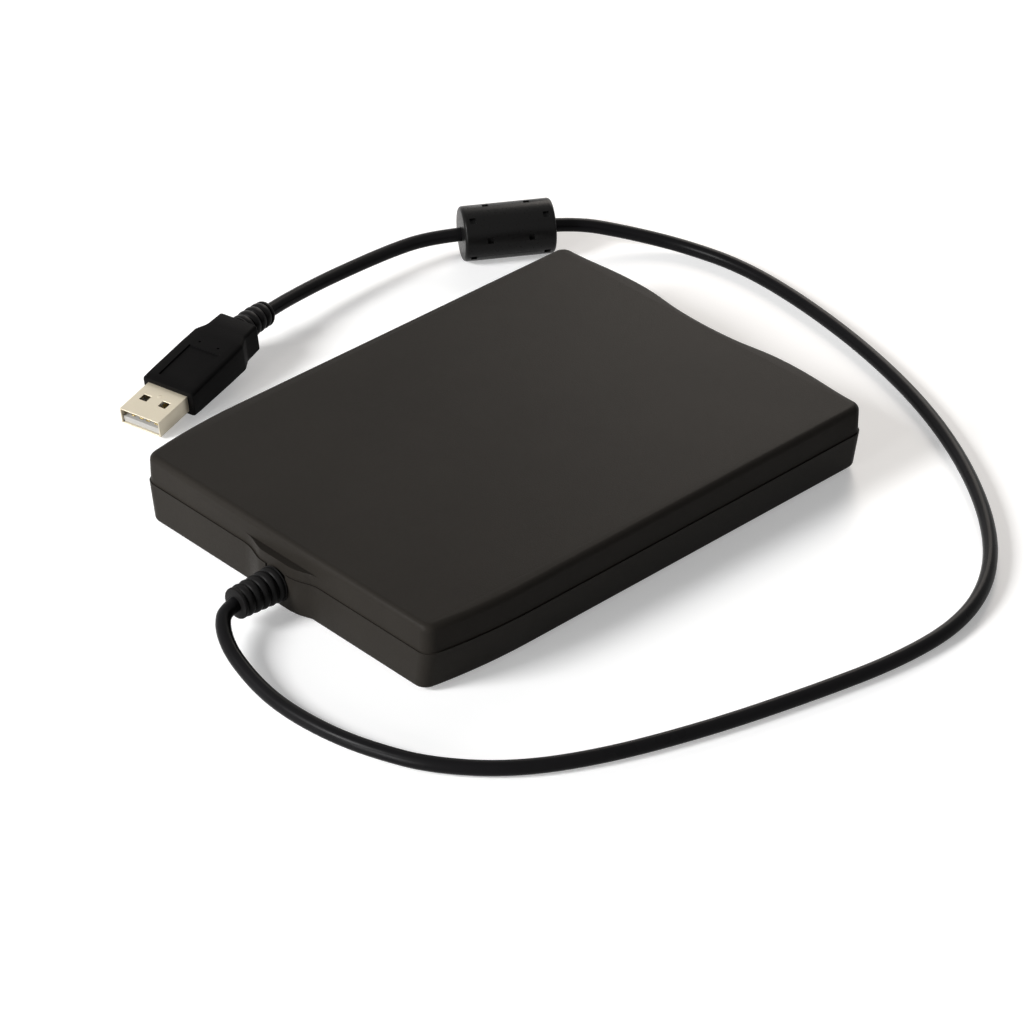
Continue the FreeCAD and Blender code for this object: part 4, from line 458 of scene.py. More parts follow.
BRONZE = Ground("bearing_bronze", (0.72, 0.5, 0.24), 0.35, axis=2)
COPPER = Ground("coil_copper", (0.72, 0.33, 0.15), 0.3, axis=2)
GOLD = Ground("contact_gold", (0.83, 0.62, 0.25), 0.22)
BOARD = SolderMask("board_mask", (0.008, 0.055, 0.022), 0.35)
FERRITE_GREY = Sintered("ferrite_core_skin", (0.07, 0.07, 0.072), 0.6)
MAGNET = Sintered("magnet_skin", (0.06, 0.06, 0.066), 0.5)
CERAMIC = Sintered("head_ceramic", (0.70, 0.67, 0.60), 0.18)
CLEAR = Lens("clear_lens", (0.75, 0.92, 0.78), 0.08)


# -------- pieces
MERGE_GAP = 0.002 * MM
FLAT_ANGLE = math.radians(0.6)
ROUNDED_ANGLE = math.radians(40.0)
SHARP_ANGLE = 35.0


def finish_piece(piece: Piece, body: Body, finish: Finish, slot: str, *nodes: str) -> Piece:
    """Give a piece its material and its body, and hide the CAD nodes it stands for.

    Args:
        piece: The piece, in place.
        body: The CAD body it rides on.
        finish: Its finish.
        slot: Not used.
        *nodes: The CAD nodes it replaces.

    Returns:
        The piece.
    """
    piece.data.materials.clear()
    piece.data.materials.append(finish.material())
    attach(piece, body.value)
    if nodes:
        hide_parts(*nodes)
    LOG.info("piece %s on %s", piece.name, body.value)
    return piece


def smooth(mesh: bpy.types.Mesh, angle: float = SHARP_ANGLE) -> None:
    """Smooth shading with edges sharp above an angle in degrees."""
    mesh.shade_smooth()
    mesh.set_sharp_from_angle(angle=math.radians(angle))


def in_scene(name: str, data: bpy.types.ID) -> Piece:
    """A new object in the scene.

    Args:
        name: Its name.
        data: Its mesh, curve, lamp or camera.

    Returns:
        The object.
    """
    thing = bpy.data.objects.new(name, data)
    bpy.context.scene.collection.objects.link(thing)
    return thing


def from_shape(name: str, shape: bmesh.types.BMesh) -> Piece:
    """Put a drawing in the scene as an object and free it.

    Args:
        name: The object's name.
        shape: The drawing.

    Returns:
        The object.
    """
    mesh = bpy.data.meshes.new(name)
    shape.to_mesh(mesh)
    shape.free()
    return in_scene(name, mesh)


def polished(node: str, name: str, rounding: float) -> Piece:
    """A merged copy of a CAD node with its sharp edges rounded.

    Args:
        node: The CAD node.
        name: The new piece's name.
        rounding: Width of the edge rounds in metres.

    Returns:
        The new piece.
    """
    shape = bmesh.new()
    shape.from_mesh(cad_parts[node].data)
    bmesh.ops.remove_doubles(shape, verts=shape.verts, dist=MERGE_GAP)
    bmesh.ops.dissolve_limit(shape, angle_limit=FLAT_ANGLE, verts=shape.verts, edges=shape.edges)
    piece = from_shape(name, shape)
    smooth(piece.data)
    bevel = piece.modifiers.new("edge_round", "BEVEL")
    bevel.limit_method = "ANGLE"
    bevel.angle_limit = ROUNDED_ANGLE
    bevel.width = rounding
    bevel.segments = 2
    bevel.harden_normals = True
    return piece


def in_mm(box: tuple[Vector, Vector]) -> tuple[Vector, Vector]:
    """The lowest and the highest corner of a box in metres as millimetres."""
    low, high = box
    return low / MM, high / MM


def dress(finish: Finish, slot: str, *nodes: str, body: Body = Body.ROOT, rounding: float = 0.05) -> None:
    """Stand a rounded copy of each CAD node in its place.

    Args:
        finish: The nodes' finish.
        slot: Handed on to finish_piece, which does not use it.
        *nodes: The CAD nodes.
        body: The body that they ride on.
        rounding: Width of the edge rounds in millimetres.
    """
    for node in nodes:
        finish_piece(polished(node, node + "_dressed", rounding * MM), body, finish, slot, node)


# -------- mesh tools
Section = list[tuple[float, float]]
ORIGIN = (0.0, 0.0, 0.0)
LENGTHWAYS = (1.0, 0.0, 0.0)
SEAM_GAP = 0.0005
QUARTER = math.pi / 2.0
TO_Y = Matrix.Rotation(QUARTER, 4, "Z")
TO_Z = Matrix.Rotation(-QUARTER, 4, "Y")


class Moulding:
    """One closed mesh drawn in millimetres, grown ring by ring or turned, and then put in place."""

    def __init__(self, name: str) -> None:
        """Start an empty mesh.

        Args:
            name: The piece's name.
        """
        self.name = name
        self.shape = bmesh.new()
        self.order = self.shape.verts.layers.int.new("order")
        self.ring: list[bmesh.types.BMVert] = []

    def rim(self) -> list[bmesh.types.BMEdge]:
        """The edges of the last ring, each once."""
        held = set(self.ring)
        return list(dict.fromkeys(edge for corner in self.ring for edge in corner.link_edges
                                  if edge.other_vert(corner) in held))

    def grow(self, points: list[Vector]) -> None:
        """Add the next ring, with a cap on the first.

        Args:
            points: Where the ring's corners lie.
        """
        if self.ring:
            made = bmesh.ops.extrude_edge_only(self.shape, edges=self.rim())["geom"]
            corners = [part for part in made if isinstance(part, bmesh.types.BMVert)]
            self.ring = sorted(corners, key=lambda corner: corner[self.order])
        else:
            made = bmesh.ops.create_circle(self.shape, cap_ends=True, segments=len(points), radius=1.0)
            self.ring = made["verts"]
            for index, corner in enumerate(self.ring):
                corner[self.order] = index
        for corner, point in zip(self.ring, points):
            corner.co = point

    def along_x(self, distance: float, section: Section) -> None:
        """Add a ring that is square to +X.

        Args:
            distance: Its place along +X.
            section: Its corners as (y, z).
        """
        self.grow([Vector((distance, y, z)) for y, z in section])

    def cap(self) -> None:
        """Close the last ring and start afresh."""
        bmesh.ops.edgeloop_fill(self.shape, edges=self.rim())
        self.ring = []

    def turn(self, profile: Section, steps: int = 64) -> None:
        """Turn a profile of (distance, radius) about +X.

        Args:
            profile: The profile, from axis to axis.
            steps: Faces round the axis.
        """
        corners = [self.shape.verts.new((x, 0.0, radius)) for x, radius in profile]
        edges = [self.shape.edges.new(pair) for pair in zip(corners, corners[1:])]
        bmesh.ops.spin(self.shape, geom=corners + edges, cent=ORIGIN, axis=LENGTHWAYS,
                       angle=math.tau, steps=steps, use_merge=True)

    def coil(self, diameter: float, wire: float, length: float, turns: float, steps: int = 20) -> None:
        """Wind a helical spring about +X from x = 0.

        Args:
            diameter: Outer diameter.
            wire: Diameter of the wire.
            length: Length of the spring.
            turns: Number of turns.
            steps: Faces along one turn.
        """
        start = Matrix.Translation((wire / 2.0, 0.0, (diameter - wire) / 2.0))
        turned = Matrix.Rotation(QUARTER, 4, "Y") @ Matrix.Rotation(QUARTER, 4, "X")
        made = bmesh.ops.create_circle(self.shape, cap_ends=False, segments=8, radius=wire / 2.0,
                                       matrix=start @ turned)
        edges = list(dict.fromkeys(edge for corner in made["verts"] for edge in corner.link_edges))
        count = round(steps * turns)
        bmesh.ops.spin(self.shape, geom=made["verts"] + edges, cent=ORIGIN, axis=LENGTHWAYS,
                       dvec=((length - wire) / count, 0.0, 0.0), angle=math.tau * turns, steps=count)
        bmesh.ops.holes_fill(self.shape, edges=[edge for edge in self.shape.edges if edge.is_boundary])

    def droop(self, start: float, length: float, angle: float) -> None:
        """Bend what lies past a distance along +X evenly downwards.

        Args:
            start: Where the bend starts.
            length: Length of the bend.
            angle: Whole angle of the bend in degrees.
        """
        radius = length / math.radians(angle)
        for corner in self.shape.verts:
            past = corner.co.x - start
            if past > 0.0:
                turn = past / radius
                reach = radius + corner.co.z
                corner.co.x = start + reach * math.sin(turn)
                corner.co.z = reach * math.cos(turn) - radius

    def shift(self, start: int, matrix: Matrix) -> None:
        """Move what was drawn since a vertex count was read.

        Args:
            start: The vertex count.
            matrix: The movement.
        """
        bmesh.ops.transform(self.shape, matrix=matrix, verts=list(self.shape.verts)[start:])

    def finished(self, matrix: Matrix, angle: float = 32.0) -> Piece:
        """Merge, turn the faces outward and put the mesh in the scene.

        Args:
            matrix: From the drawing in millimetres to the frame in metres.
            angle: Edges above this angle in degrees stay sharp.

        Returns:
            The piece.
        """
        bmesh.ops.remove_doubles(self.shape, verts=self.shape.verts, dist=SEAM_GAP)
        bmesh.ops.transform(self.shape, matrix=matrix, verts=self.shape.verts)
        bmesh.ops.recalc_face_normals(self.shape, faces=self.shape.faces)
        piece = from_shape(self.name, self.shape)
        smooth(piece.data, angle)
        return piece


def placed(x: float = 0.0, y: float = 0.0, z: float = 0.0, heading: float = 0.0,
           pitch: float = 0.0) -> Matrix:
    """From a drawing along +X in millimetres to a place in the frame in metres.

    Args:
        x: Where the drawing's origin lies along +X, in millimetres.
        y: Where it lies along +Y.
        z: Where it lies along +Z.
        heading: Turn about +Z in degrees.
        pitch: Rise of the drawing's +X in degrees.

    Returns:
        The matrix.
    """
    turn = Matrix.Rotation(math.radians(heading), 4, "Z") @ Matrix.Rotation(-math.radians(pitch), 4, "Y")
    return Matrix.Scale(MM, 4) @ Matrix.Translation((x, y, z)) @ turn


def circle(radius: float, steps: int) -> Section:
    """The corners of a round section."""
    return [(radius * math.cos(math.tau * step / steps), radius * math.sin(math.tau * step / steps))
            for step in range(steps)]


# -------- case
class Case:
    """The two shells, the door, the button and what is under them."""

    def build(self) -> None:
        """Dress the outer pieces of the case."""
        dress(CASE_SKIN, "case_black", "upper_cover", "lower_case", rounding=0.12)
        dress(DOOR_SKIN, "door_black", "door_flap", body=Body.FLAP, rounding=0.15)
        dress(BUTTON_SKIN, "button_black", "eject_button", body=Body.EJECTOR, rounding=0.1)
        dress(CLEAR, "lens_clear", "led_lens", rounding=0.1)
        dress(FOOT_SKIN, "foot_rubber", "rubber_feet", rounding=0.1)
        dress(SCREW_STEEL, "screw_steel", "case_screws", "drive_screws", rounding=0.08)


# -------- drive inside the case
@dataclass(frozen=True)
class Mechanism:
    """Chassis, spindle, heads, holder and slide, with lengths in millimetres."""

    spring_diameter: float = 3.0
    spring_wire: float = 0.4
    spring_turns: float = 12.0
    screw_lead: float = 3.75
    screw_groove: float = 0.32
    groove_narrowness: int = 6
    plain_end: float = 0.4
    rings_per_turn: int = 16
    screw_faces: int = 32

    def slide_springs(self) -> Piece:
        """Two helical compression springs behind the slide plate.

        Returns:
            The piece.
        """
        low, high = in_mm(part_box("slide_springs"))
        springs = Moulding("slide_spring_coils")
        reach = high.x - self.spring_diameter / 2.0
        level = (low.z + high.z) / 2.0
        for side in (-reach, reach):
            start = len(springs.shape.verts)
            springs.coil(self.spring_diameter, self.spring_wire, high.y - low.y, self.spring_turns)
            springs.shift(start, Matrix.Translation((side, low.y, level)) @ TO_Y)
        return springs.finished(placed())

    def lead_screw(self) -> Piece:
        """The stepper's shaft with its helical groove.

        Returns:
            The piece.
        """
        low, high = in_mm(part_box("lead_screw"))
        length = high.y - low.y
        radius = (high.z - low.z) / 2.0
        shaft = Moulding("lead_screw_thread")
        count = round(length / self.screw_lead * self.rings_per_turn)
        for step in range(count + 1):
            along = length * step / count
            phase = math.tau * along / self.screw_lead
            plain = min(along, length - along) < self.plain_end
            groove = 0.0 if plain else self.screw_groove
            section = []
            for y, z in circle(1.0, self.screw_faces):
                cut = max(0.0, math.cos(math.atan2(z, y) - phase)) ** self.groove_narrowness
                reach = radius - groove * cut
                section.append((y * reach, z * reach))
            shaft.along_x(along, section)
        shaft.cap()
        centre = (low + high) / 2.0
        return shaft.finished(placed(centre.x, low.y, centre.z, heading=90.0), angle=50.0)

    def build(self) -> None:
        """Dress the inner metalwork."""
        finish_piece(self.slide_springs(), Body.ROOT, SPRING_WIRE, "spring_steel", "slide_springs")
        finish_piece(self.lead_screw(), Body.SCREW, BRIGHT_STEEL, "ground_steel", "lead_screw")
        dress(SCREW_STEEL, "screw_steel", "board_screws")
        dress(ZINC, "zinc_sheet", "chassis", rounding=0.08)
        dress(ZINC, "zinc_sheet", "motor_bracket", "rod_clamps", "side_rail")
        dress(TIN, "shield_sheet", "top_shield")
        dress(STAINLESS, "holder_steel", "disk_holder", body=Body.HOLDER)
        dress(STAINLESS, "slide_steel", "slide_plate", body=Body.EJECTOR)
        dress(SPRING_WIRE, "spring_steel", "flap_springs")
        dress(BRIGHT_STEEL, "ground_steel", "flap_pin", "trigger_pivot")
        dress(ACETAL, "lever_white", "trigger_lever", body=Body.TRIGGER, rounding=0.15)
        dress(BRONZE, "bearing_brass", "spindle_bearing")
        dress(ROTOR_STEEL, "rotor_steel", "spindle_rotor", "spindle_hub", body=Body.SPINDLE)
        dress(MAGNET, "magnet_dark", "rotor_magnet", body=Body.SPINDLE)
        dress(BRIGHT_STEEL, "ground_steel", "spindle_shaft", "drive_pin", body=Body.SPINDLE)
        dress(GREY_CARRIAGE, "carriage_grey", "head_carriage", body=Body.CARRIAGE, rounding=0.12)
        dress(CERAMIC, "head_ceramic", "lower_head", body=Body.CARRIAGE)
        dress(BRIGHT_STEEL, "ground_steel", "arm_pin", body=Body.CARRIAGE)
        dress(STAINLESS, "arm_steel", "upper_head_arm", body=Body.HEAD_ARM)
        dress(CERAMIC, "head_ceramic", "upper_head", body=Body.HEAD_ARM)
        dress(BRIGHT_STEEL, "ground_steel", "guide_rod")
        dress(TIN, "motor_can", "stepper_motor")


# One winding from the inside outwards, as shares of the coil's height and of the winding's width.
WINDING = ((0.97, 0.25), (1.0, 0.5), (0.97, 0.75), (0.85, 1.0))
# Where each core of the ribbon has its points, as shares of a core's width.
CORE_POINTS = (0.0, 0.2, 0.5, 0.8)
# The wires' places in their row, as shares of its pitch.
WIRE_PLACES = (-1.5, -0.5, 0.5, 1.5)


@dataclass(frozen=True)
class Electronics:
    """Boards, chips, switches, lamp and ribbon, with lengths in millimetres."""

    coil_count: int = 9
    coil_windings: int = 5
    coil_margin: float = 0.4
    coil_hole: float = 0.4
    coil_wall: float = 0.8
    ribbon_cores: int = 20
    ribbon_web: float = 0.6
    wire_radius: float = 0.3
    wire_faces: int = 10
    wire_steps: int = 12
    wire_spread: float = 0.7
    wire_bend: float = 0.45
    header_place: float = 7.0
    header_pitch: float = 2.4

    def coils(self) -> Piece:
        """The stator's flat coils, each wound in rings.

        Returns:
            The piece.
        """
        low, high = in_mm(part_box("stator_coils"))
        height = high.z - low.z
        middle = (low.y + high.y) / 2.0
        radius = (high.x - low.x) / 2.0
        pitch = math.sin(math.pi / self.coil_count)
        outer = (radius - self.coil_margin) * pitch / (1.0 + pitch)
        inner = outer * self.coil_hole
        wide = (outer - inner) / self.coil_windings
        profile = [(0.0, inner), (height * self.coil_wall, inner)]
        for winding in range(self.coil_windings):
            near = inner + wide * winding
            profile += [(height * level, near + wide * share) for level, share in WINDING]
        profile += [(0.0, outer), (0.0, inner)]
        coils = Moulding("wound_coils")
        out = radius - outer
        for index in range(self.coil_count):
            start = len(coils.shape.verts)
            coils.turn(profile, steps=32)
            angle = math.tau * index / self.coil_count
            place = (out * math.cos(angle), middle + out * math.sin(angle), low.z)
            coils.shift(start, Matrix.Translation(place) @ TO_Z)
        return coils.finished(placed(), angle=60.0)

    def ribbon(self) -> Piece:
        """The flat cable with its row of cores.

        Returns:
            The piece.
        """
        low, high = in_mm(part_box("ribbon_cable"))
        centre = (low + high) / 2.0
        half = (high.x - low.x) / 2.0
        rise = (high.z - low.z) / 2.0
        pitch = (high.x - low.x) / self.ribbon_cores
        top = []
        for core in range(self.ribbon_cores):
            for share in CORE_POINTS:
                hump = (1.0 - self.ribbon_web) * math.sin(math.pi * share)
                top.append((half - (core + share) * pitch, rise * (self.ribbon_web + hump)))
        top.append((-half, rise * self.ribbon_web))
        section = top + [(y, -z) for y, z in reversed(top)]
        cable = Moulding("ribbon_cores")
        for along in (0.0, high.y - low.y):
            cable.along_x(along, section)
        cable.cap()
        return cable.finished(placed(centre.x, low.y, centre.z, heading=90.0), angle=60.0)

    def wire(self, place: float, name: str) -> Piece:
        """One insulated wire from the lead's end to the header, along a cubic curve.

        Args:
            place: Its place in the row of four, from -1.5 to 1.5.
            name: The piece's name.

        Returns:
            The piece.
        """
        low, high = in_mm(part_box("cord_wires"))
        level = (low.z + high.z) / 2.0
        up = Vector((0.0, 0.0, 1.0))
        start = Vector((place * self.wire_spread, high.y, level))
        end = Vector((self.header_place + place * self.header_pitch, low.y, level))
        bend = Vector((0.0, (high.y - low.y) * self.wire_bend, 0.0))
        near = start - bend
        far = end + bend
        section = circle(self.wire_radius, self.wire_faces)
        wire = Moulding(name)
        for step in range(self.wire_steps + 1):
            part = step / self.wire_steps
            rest = 1.0 - part
            middle = (start * rest ** 3 + near * 3.0 * rest ** 2 * part + far * 3.0 * rest * part ** 2
                      + end * part ** 3)
            ahead = (far - near) * 2.0 * rest * part - bend * (rest ** 2 + part ** 2)
            side = ahead.cross(up).normalized()
            wire.grow([middle + side * y + up * z for y, z in section])
        wire.cap()
        return wire.finished(placed(), angle=60.0)

    def build(self) -> None:
        """Dress the boards and what they carry."""
        finish_piece(self.coils(), Body.ROOT, COPPER, "coil_copper", "stator_coils")
        finish_piece(self.ribbon(), Body.ROOT, FILM, "ribbon_film", "ribbon_cable")
        for place, (name, skin) in zip(WIRE_PLACES, WIRE_SKINS.items()):
            finish_piece(self.wire(place, name), Body.ROOT, skin, "wire_red", "cord_wires")
        dress(BOARD, "board_green", "main_board", "usb_board")
        dress(EPOXY, "chip_black", "board_chips", "bridge_chip", "track_zero_sensor",
              "switch_bodies")
        dress(ACETAL, "lever_white", "disk_in_plunger", body=Body.DISK_SWITCH)
        dress(ACETAL, "lever_white", "write_protect_plunger", body=Body.PROTECT_SWITCH)
        dress(TIN, "motor_can", "crystal")
        dress(LAMP, "lamp_green", "drive_led")
        dress(ACETAL, "lever_white", "ribbon_connectors", "cord_header")


# -------- lead
# Rounded edges, as (distance from the end, depth below the surface) in millimetres.
BASE_EDGE = ((0.0, 0.35), (0.12, 0.1), (0.35, 0.0))
COLLAR_EDGE = ((0.12, 0.12), (0.35, 0.0))
TIP_EDGE = ((-0.3, 0.0), (-0.08, 0.1), (0.0, 0.35))


@dataclass(frozen=True)
class StrainRelief:
    """A tapered, ribbed sleeve drawn along +X, in millimetres."""

    length: float
    base: float
    tip: float
    ribs: int
    depth: float
    collar: float = 1.1
    steps_per_rib: int = 12
    first_step: int = 3
    fullness: float = 0.45

    def profile(self) -> Section:
        """The ribs from the base to the tip, with a plain collar at the tip.

        Returns:
            Points (distance, radius), from axis to axis.
        """
        ribbed = self.length - self.collar
        steps = self.ribs * self.steps_per_rib
        points = [(0.0, 0.0)]
        points += [(along, self.base / 2.0 - sunk) for along, sunk in BASE_EDGE]
        for step in range(self.first_step, steps + 1):
            along = ribbed * step / steps
            plain = (self.base + (self.tip - self.base) * along / self.length) / 2.0
            swell = abs(math.sin(math.pi * step / self.steps_per_rib)) ** self.fullness
            points.append((along, plain - self.depth * (1.0 - swell)))
        points += [(ribbed + along, self.tip / 2.0 - sunk) for along, sunk in COLLAR_EDGE]
        points += [(self.length + along, self.tip / 2.0 - sunk) for along, sunk in TIP_EDGE]
        return points + [(self.length, 0.0)]


@dataclass(frozen=True)
class PlugGrip:
    """The plug's overmould: a wide front with a sunk panel, a waist and a narrower rear block.

    Lengths are in millimetres, and pit_place is the distance of the two pits from the front.
    """

    front: float = 11.5
    length: float = 29.5
    panel_start: float = 2.6
    panel_end: float = 15.4
    panel_half: float = 4.6
    panel_depth: float = 0.4
    pit_place: float = 17.2
    pit_side: float = 2.85
    pit_half: float = 0.3
    pit_depth: float = 0.45
    pit_edge: float = 0.1
    panel_edge: float = 0.15
    broad_above: float = 2.5
    margin: float = 0.2
    corner_steps: int = 4

    def stations(self) -> list[tuple[float, float, float, float]]:
        """Rings as (distance from the front, half width, half height, corner)."""
        end = self.length
        return [
            (0.0, 7.2, 3.1, 0.7), (0.12, 7.5, 3.4, 0.9), (0.4, 7.7, 3.55, 1.0),
            (self.panel_start, 7.75, 3.65, 1.0), (self.panel_end, 7.65, 3.98, 1.0),
            (self.pit_place - self.pit_half, 7.6, 4.02, 1.0),
            (self.pit_place + self.pit_half, 7.57, 4.03, 1.0),
            (20.8, 7.5, 4.1, 1.0), (21.3, 7.4, 4.1, 1.0), (23.4, 6.3, 4.02, 0.9), (24.0, 6.05, 3.98, 0.8),
            (24.6, 5.95, 3.95, 0.8), (end - 0.45, 5.75, 3.85, 0.8), (end - 0.12, 5.5, 3.65, 0.7),
            (end, 5.2, 3.35, 0.6),
        ]

    def section(self, half: float, rise: float, corner: float) -> Section:
        """A rectangle with round corners and with marks for the panel and the pits on its broad sides.

        Args:
            half: Half its width.
            rise: Half its height.
            corner: Radius of its corners.

        Returns:
            The corners as (y, z).
        """
        marks = [self.panel_half, self.pit_side + self.pit_half, self.pit_side - self.pit_half]
        share = min(1.0, (half - corner - self.margin) / self.panel_half)
        marks = [mark * share for mark in marks]
        marks += [-mark for mark in reversed(marks)]
        points = []
        quarters = ((0.0, 1.0, 1.0), (90.0, -1.0, 1.0), (180.0, -1.0, -1.0), (270.0, 1.0, -1.0))
        for turn, side, lift in quarters:
            for step in range(self.corner_steps + 1):
                angle = math.radians(turn + 90.0 * step / self.corner_steps)
                points.append((side * (half - corner) + corner * math.cos(angle),
                               lift * (rise - corner) + corner * math.sin(angle)))
            if side == lift:
                points += [(mark * lift, rise * lift) for mark in marks]
            else:
                points.append((half * side, 0.0))
        return points

    def faces_at(self, shape: bmesh.types.BMesh, start: float, end: float, inner: float,
                 outer: float) -> list[bmesh.types.BMFace]:
        """The faces of the two broad sides within a band on each.

        Args:
            shape: The mesh.
            start: Where the band starts, from the grip's front.
            end: Where it ends.
            inner: Its near bound, from the middle line.
            outer: Its far bound.

        Returns:
            The faces.
        """
        found = []
        for face in shape.faces:
            centre = face.calc_center_median()
            broad = abs(centre.z) > self.broad_above
            if broad and start < centre.x - self.front < end and inner < abs(centre.y) < outer:
                found.append(face)
        return found

    def drawn(self) -> Moulding:
        """Grow the rings, sink the panels and press the pits.

        Returns:
            The drawing, along +X from the shell's tip.
        """
        grip = Moulding("plug_overmould")
        for distance, half, rise, corner in self.stations():
            grip.along_x(self.front + distance, self.section(half, rise, corner))
        grip.cap()
        shape = grip.shape
        bmesh.ops.recalc_face_normals(shape, faces=shape.faces)
        panel = self.faces_at(shape, self.panel_start, self.panel_end, -1.0, self.panel_half)
        bmesh.ops.inset_region(shape, faces=panel, thickness=self.panel_edge,
                               depth=-self.panel_depth, use_even_offset=True)
        pits = self.faces_at(shape, self.pit_place - self.pit_half, self.pit_place + self.pit_half,
                             self.pit_side - self.pit_half, self.pit_side + self.pit_half)
        bmesh.ops.inset_individual(shape, faces=pits, thickness=self.pit_edge, depth=-self.pit_depth)
        return grip


CASE_RELIEF = StrainRelief(length=12.0, base=9.0, tip=7.6, ribs=5, depth=0.7)
PLUG_RELIEF = StrainRelief(length=10.0, base=7.4, tip=6.6, ribs=4, depth=0.65, collar=0.9)


@dataclass(frozen=True)
class Lead:
    """The boot, the lead, the ferrite and the plug.

    Lengths are in millimetres, apart from those with MM, which are in metres.
    """

    diameter: float = 3.6 * MM
    exit: Point = (0.0, 83.0 * MM, 7.2 * MM)
    flange: float = 65.65
    flange_thick: float = 1.3
    flange_radius: float = 4.5
    neck_radius: float = 3.3
    boot_base: float = 71.0
    boot_axis: float = 7.2
    length: float = 533.6 * MM
    ferrite_centre: Point = (81.0, -77.2, 7.2)
    ferrite_heading: float = 58.0
    ferrite_before: float = 18.0
    ferrite_after: float = 14.0
    plug_tip: Point = (79.2, 46.4, 2.9)
    plug_heading: float = -77.5
    plug_pitch: float = 8.0
    plug_length: float = 51.0
    plug_droop: float = 16.0
    shell_half: float = 2.25
    dimple_place: float = 8.3
    dimple_radius: float = 0.65
    dimple_height: float = 0.13
    dimple_round: float = 0.7
    low: float = 1.9

    def ferrite_point(self, distance: float) -> Point:
        """A point on the ferrite's axis in millimetres, counted from its middle."""
        turn = math.radians(self.ferrite_heading)
        x, y, z = self.ferrite_centre
        return (x + math.cos(turn) * distance, y + math.sin(turn) * distance, z)

    def route(self) -> list[Point]:
        """Where the lead runs, in millimetres.

        Returns:
            The points from the boot's tip to the plug's boot.
        """
        low = self.low
        return [
            (0.0, 83.0, 7.2), (-0.4, 86.2, 7.0), (-2.5, 88.9, 6.5), (-6.1, 91.3, 5.5), (-10.6, 93.1, 4.3),
            (-15.9, 94.3, 3.3), (-21.8, 95.3, 2.5), (-28.6, 96.0, 2.05), (-36.4, 96.0, low),
            (-46.2, 95.0, low), (-56.5, 92.4, low), (-69.5, 87.0, low), (-83.0, 75.0, low),
            (-93.0, 57.5, low), (-101.5, 33.5, low), (-108.0, 8.0, low), (-112.8, -16.0, low),
            (-112.8, -36.5, low), (-106.0, -54.0, low), (-92.5, -70.0, low), (-71.5, -85.5, low),
            (-47.0, -98.2, low), (-20.0, -107.3, low), (8.0, -113.0, low), (32.0, -114.8, low),
            (50.0, -111.2, low), (62.5, -103.0, 4.0), self.ferrite_point(-self.ferrite_before),
            self.ferrite_point(0.0), self.ferrite_point(self.ferrite_after), (92.1, -57.0, 7.2),
            (93.2, -49.7, 7.2), (93.5, -42.0, 7.35), (93.5, -33.8, 7.5), (93.2, -25.1, 7.75),
            (92.3, -16.0, 8.1), (91.3, -9.2, 8.4), (90.1, -2.9, 8.6), (89.0, 2.0, 8.95),
        ]

    def cord(self) -> Piece:
        """The round lead as one spline.

        Returns:
            The curve's object.
        """
        curve = bpy.data.curves.new("lead_jacket", "CURVE")
        curve.dimensions = "3D"
        curve.bevel_depth = self.diameter / 2.0
        curve.bevel_resolution = 6
        curve.use_fill_caps = True
        curve.resolution_u = 16
        spline = curve.splines.new("NURBS")
        points = self.route()
        spline.points.add(len(points) - 1)
        for target, point in zip(spline.points, points):
            target.co = (*(Vector(point) * MM), 1.0)
        spline.order_u = 3
        spline.use_endpoint_u = True
        return in_scene("lead_jacket", curve)

    def boot(self) -> Piece:
        """The strain relief at the case, with its neck and the flange behind the wall.

        Returns:
            The piece.
        """
        start = self.boot_base - self.flange
        profile = [(0.0, 0.0), (0.0, self.flange_radius), (self.flange_thick, self.flange_radius),
                   (self.flange_thick, self.neck_radius), (start, self.neck_radius)]
        profile += [(start + x, radius) for x, radius in CASE_RELIEF.profile()[1:]]
        sleeve = Moulding("cord_boot_sleeve")
        sleeve.turn(profile)
        return sleeve.finished(placed(0.0, self.flange, self.boot_axis, heading=90.0))

    def on_plug(self, drawing: Moulding) -> Piece:
        """Put what is drawn along +X from the shell's tip on the plug.

        Args:
            drawing: The drawing.

        Returns:
            The piece.
        """
        return drawing.finished(placed(*self.plug_tip, self.plug_heading, self.plug_pitch))

    def plug_sleeve(self) -> Piece:
        """The strain relief of the plug.

        Returns:
            The piece.
        """
        sleeve = Moulding("plug_boot_sleeve")
        start = self.plug_length - PLUG_RELIEF.length
        sleeve.turn([(start + x, radius) for x, radius in PLUG_RELIEF.profile()])
        sleeve.droop(start, PLUG_RELIEF.length, self.plug_droop)
        return self.on_plug(sleeve)

    def shell_dimple(self) -> Piece:
        """The small round dimple on top of the shell, behind its windows.

        Returns:
            The piece.
        """
        height = self.dimple_height
        radius = self.dimple_radius
        dimple = Moulding("shell_dimple")
        slope = (height * self.dimple_round, radius * self.dimple_round)
        dimple.turn([(-height, 0.0), (-height, radius), (0.0, radius), slope, (height, 0.0)], steps=32)
        dimple.shift(0, Matrix.Translation((self.dimple_place, 0.0, self.shell_half)) @ TO_Z)
        return self.on_plug(dimple)

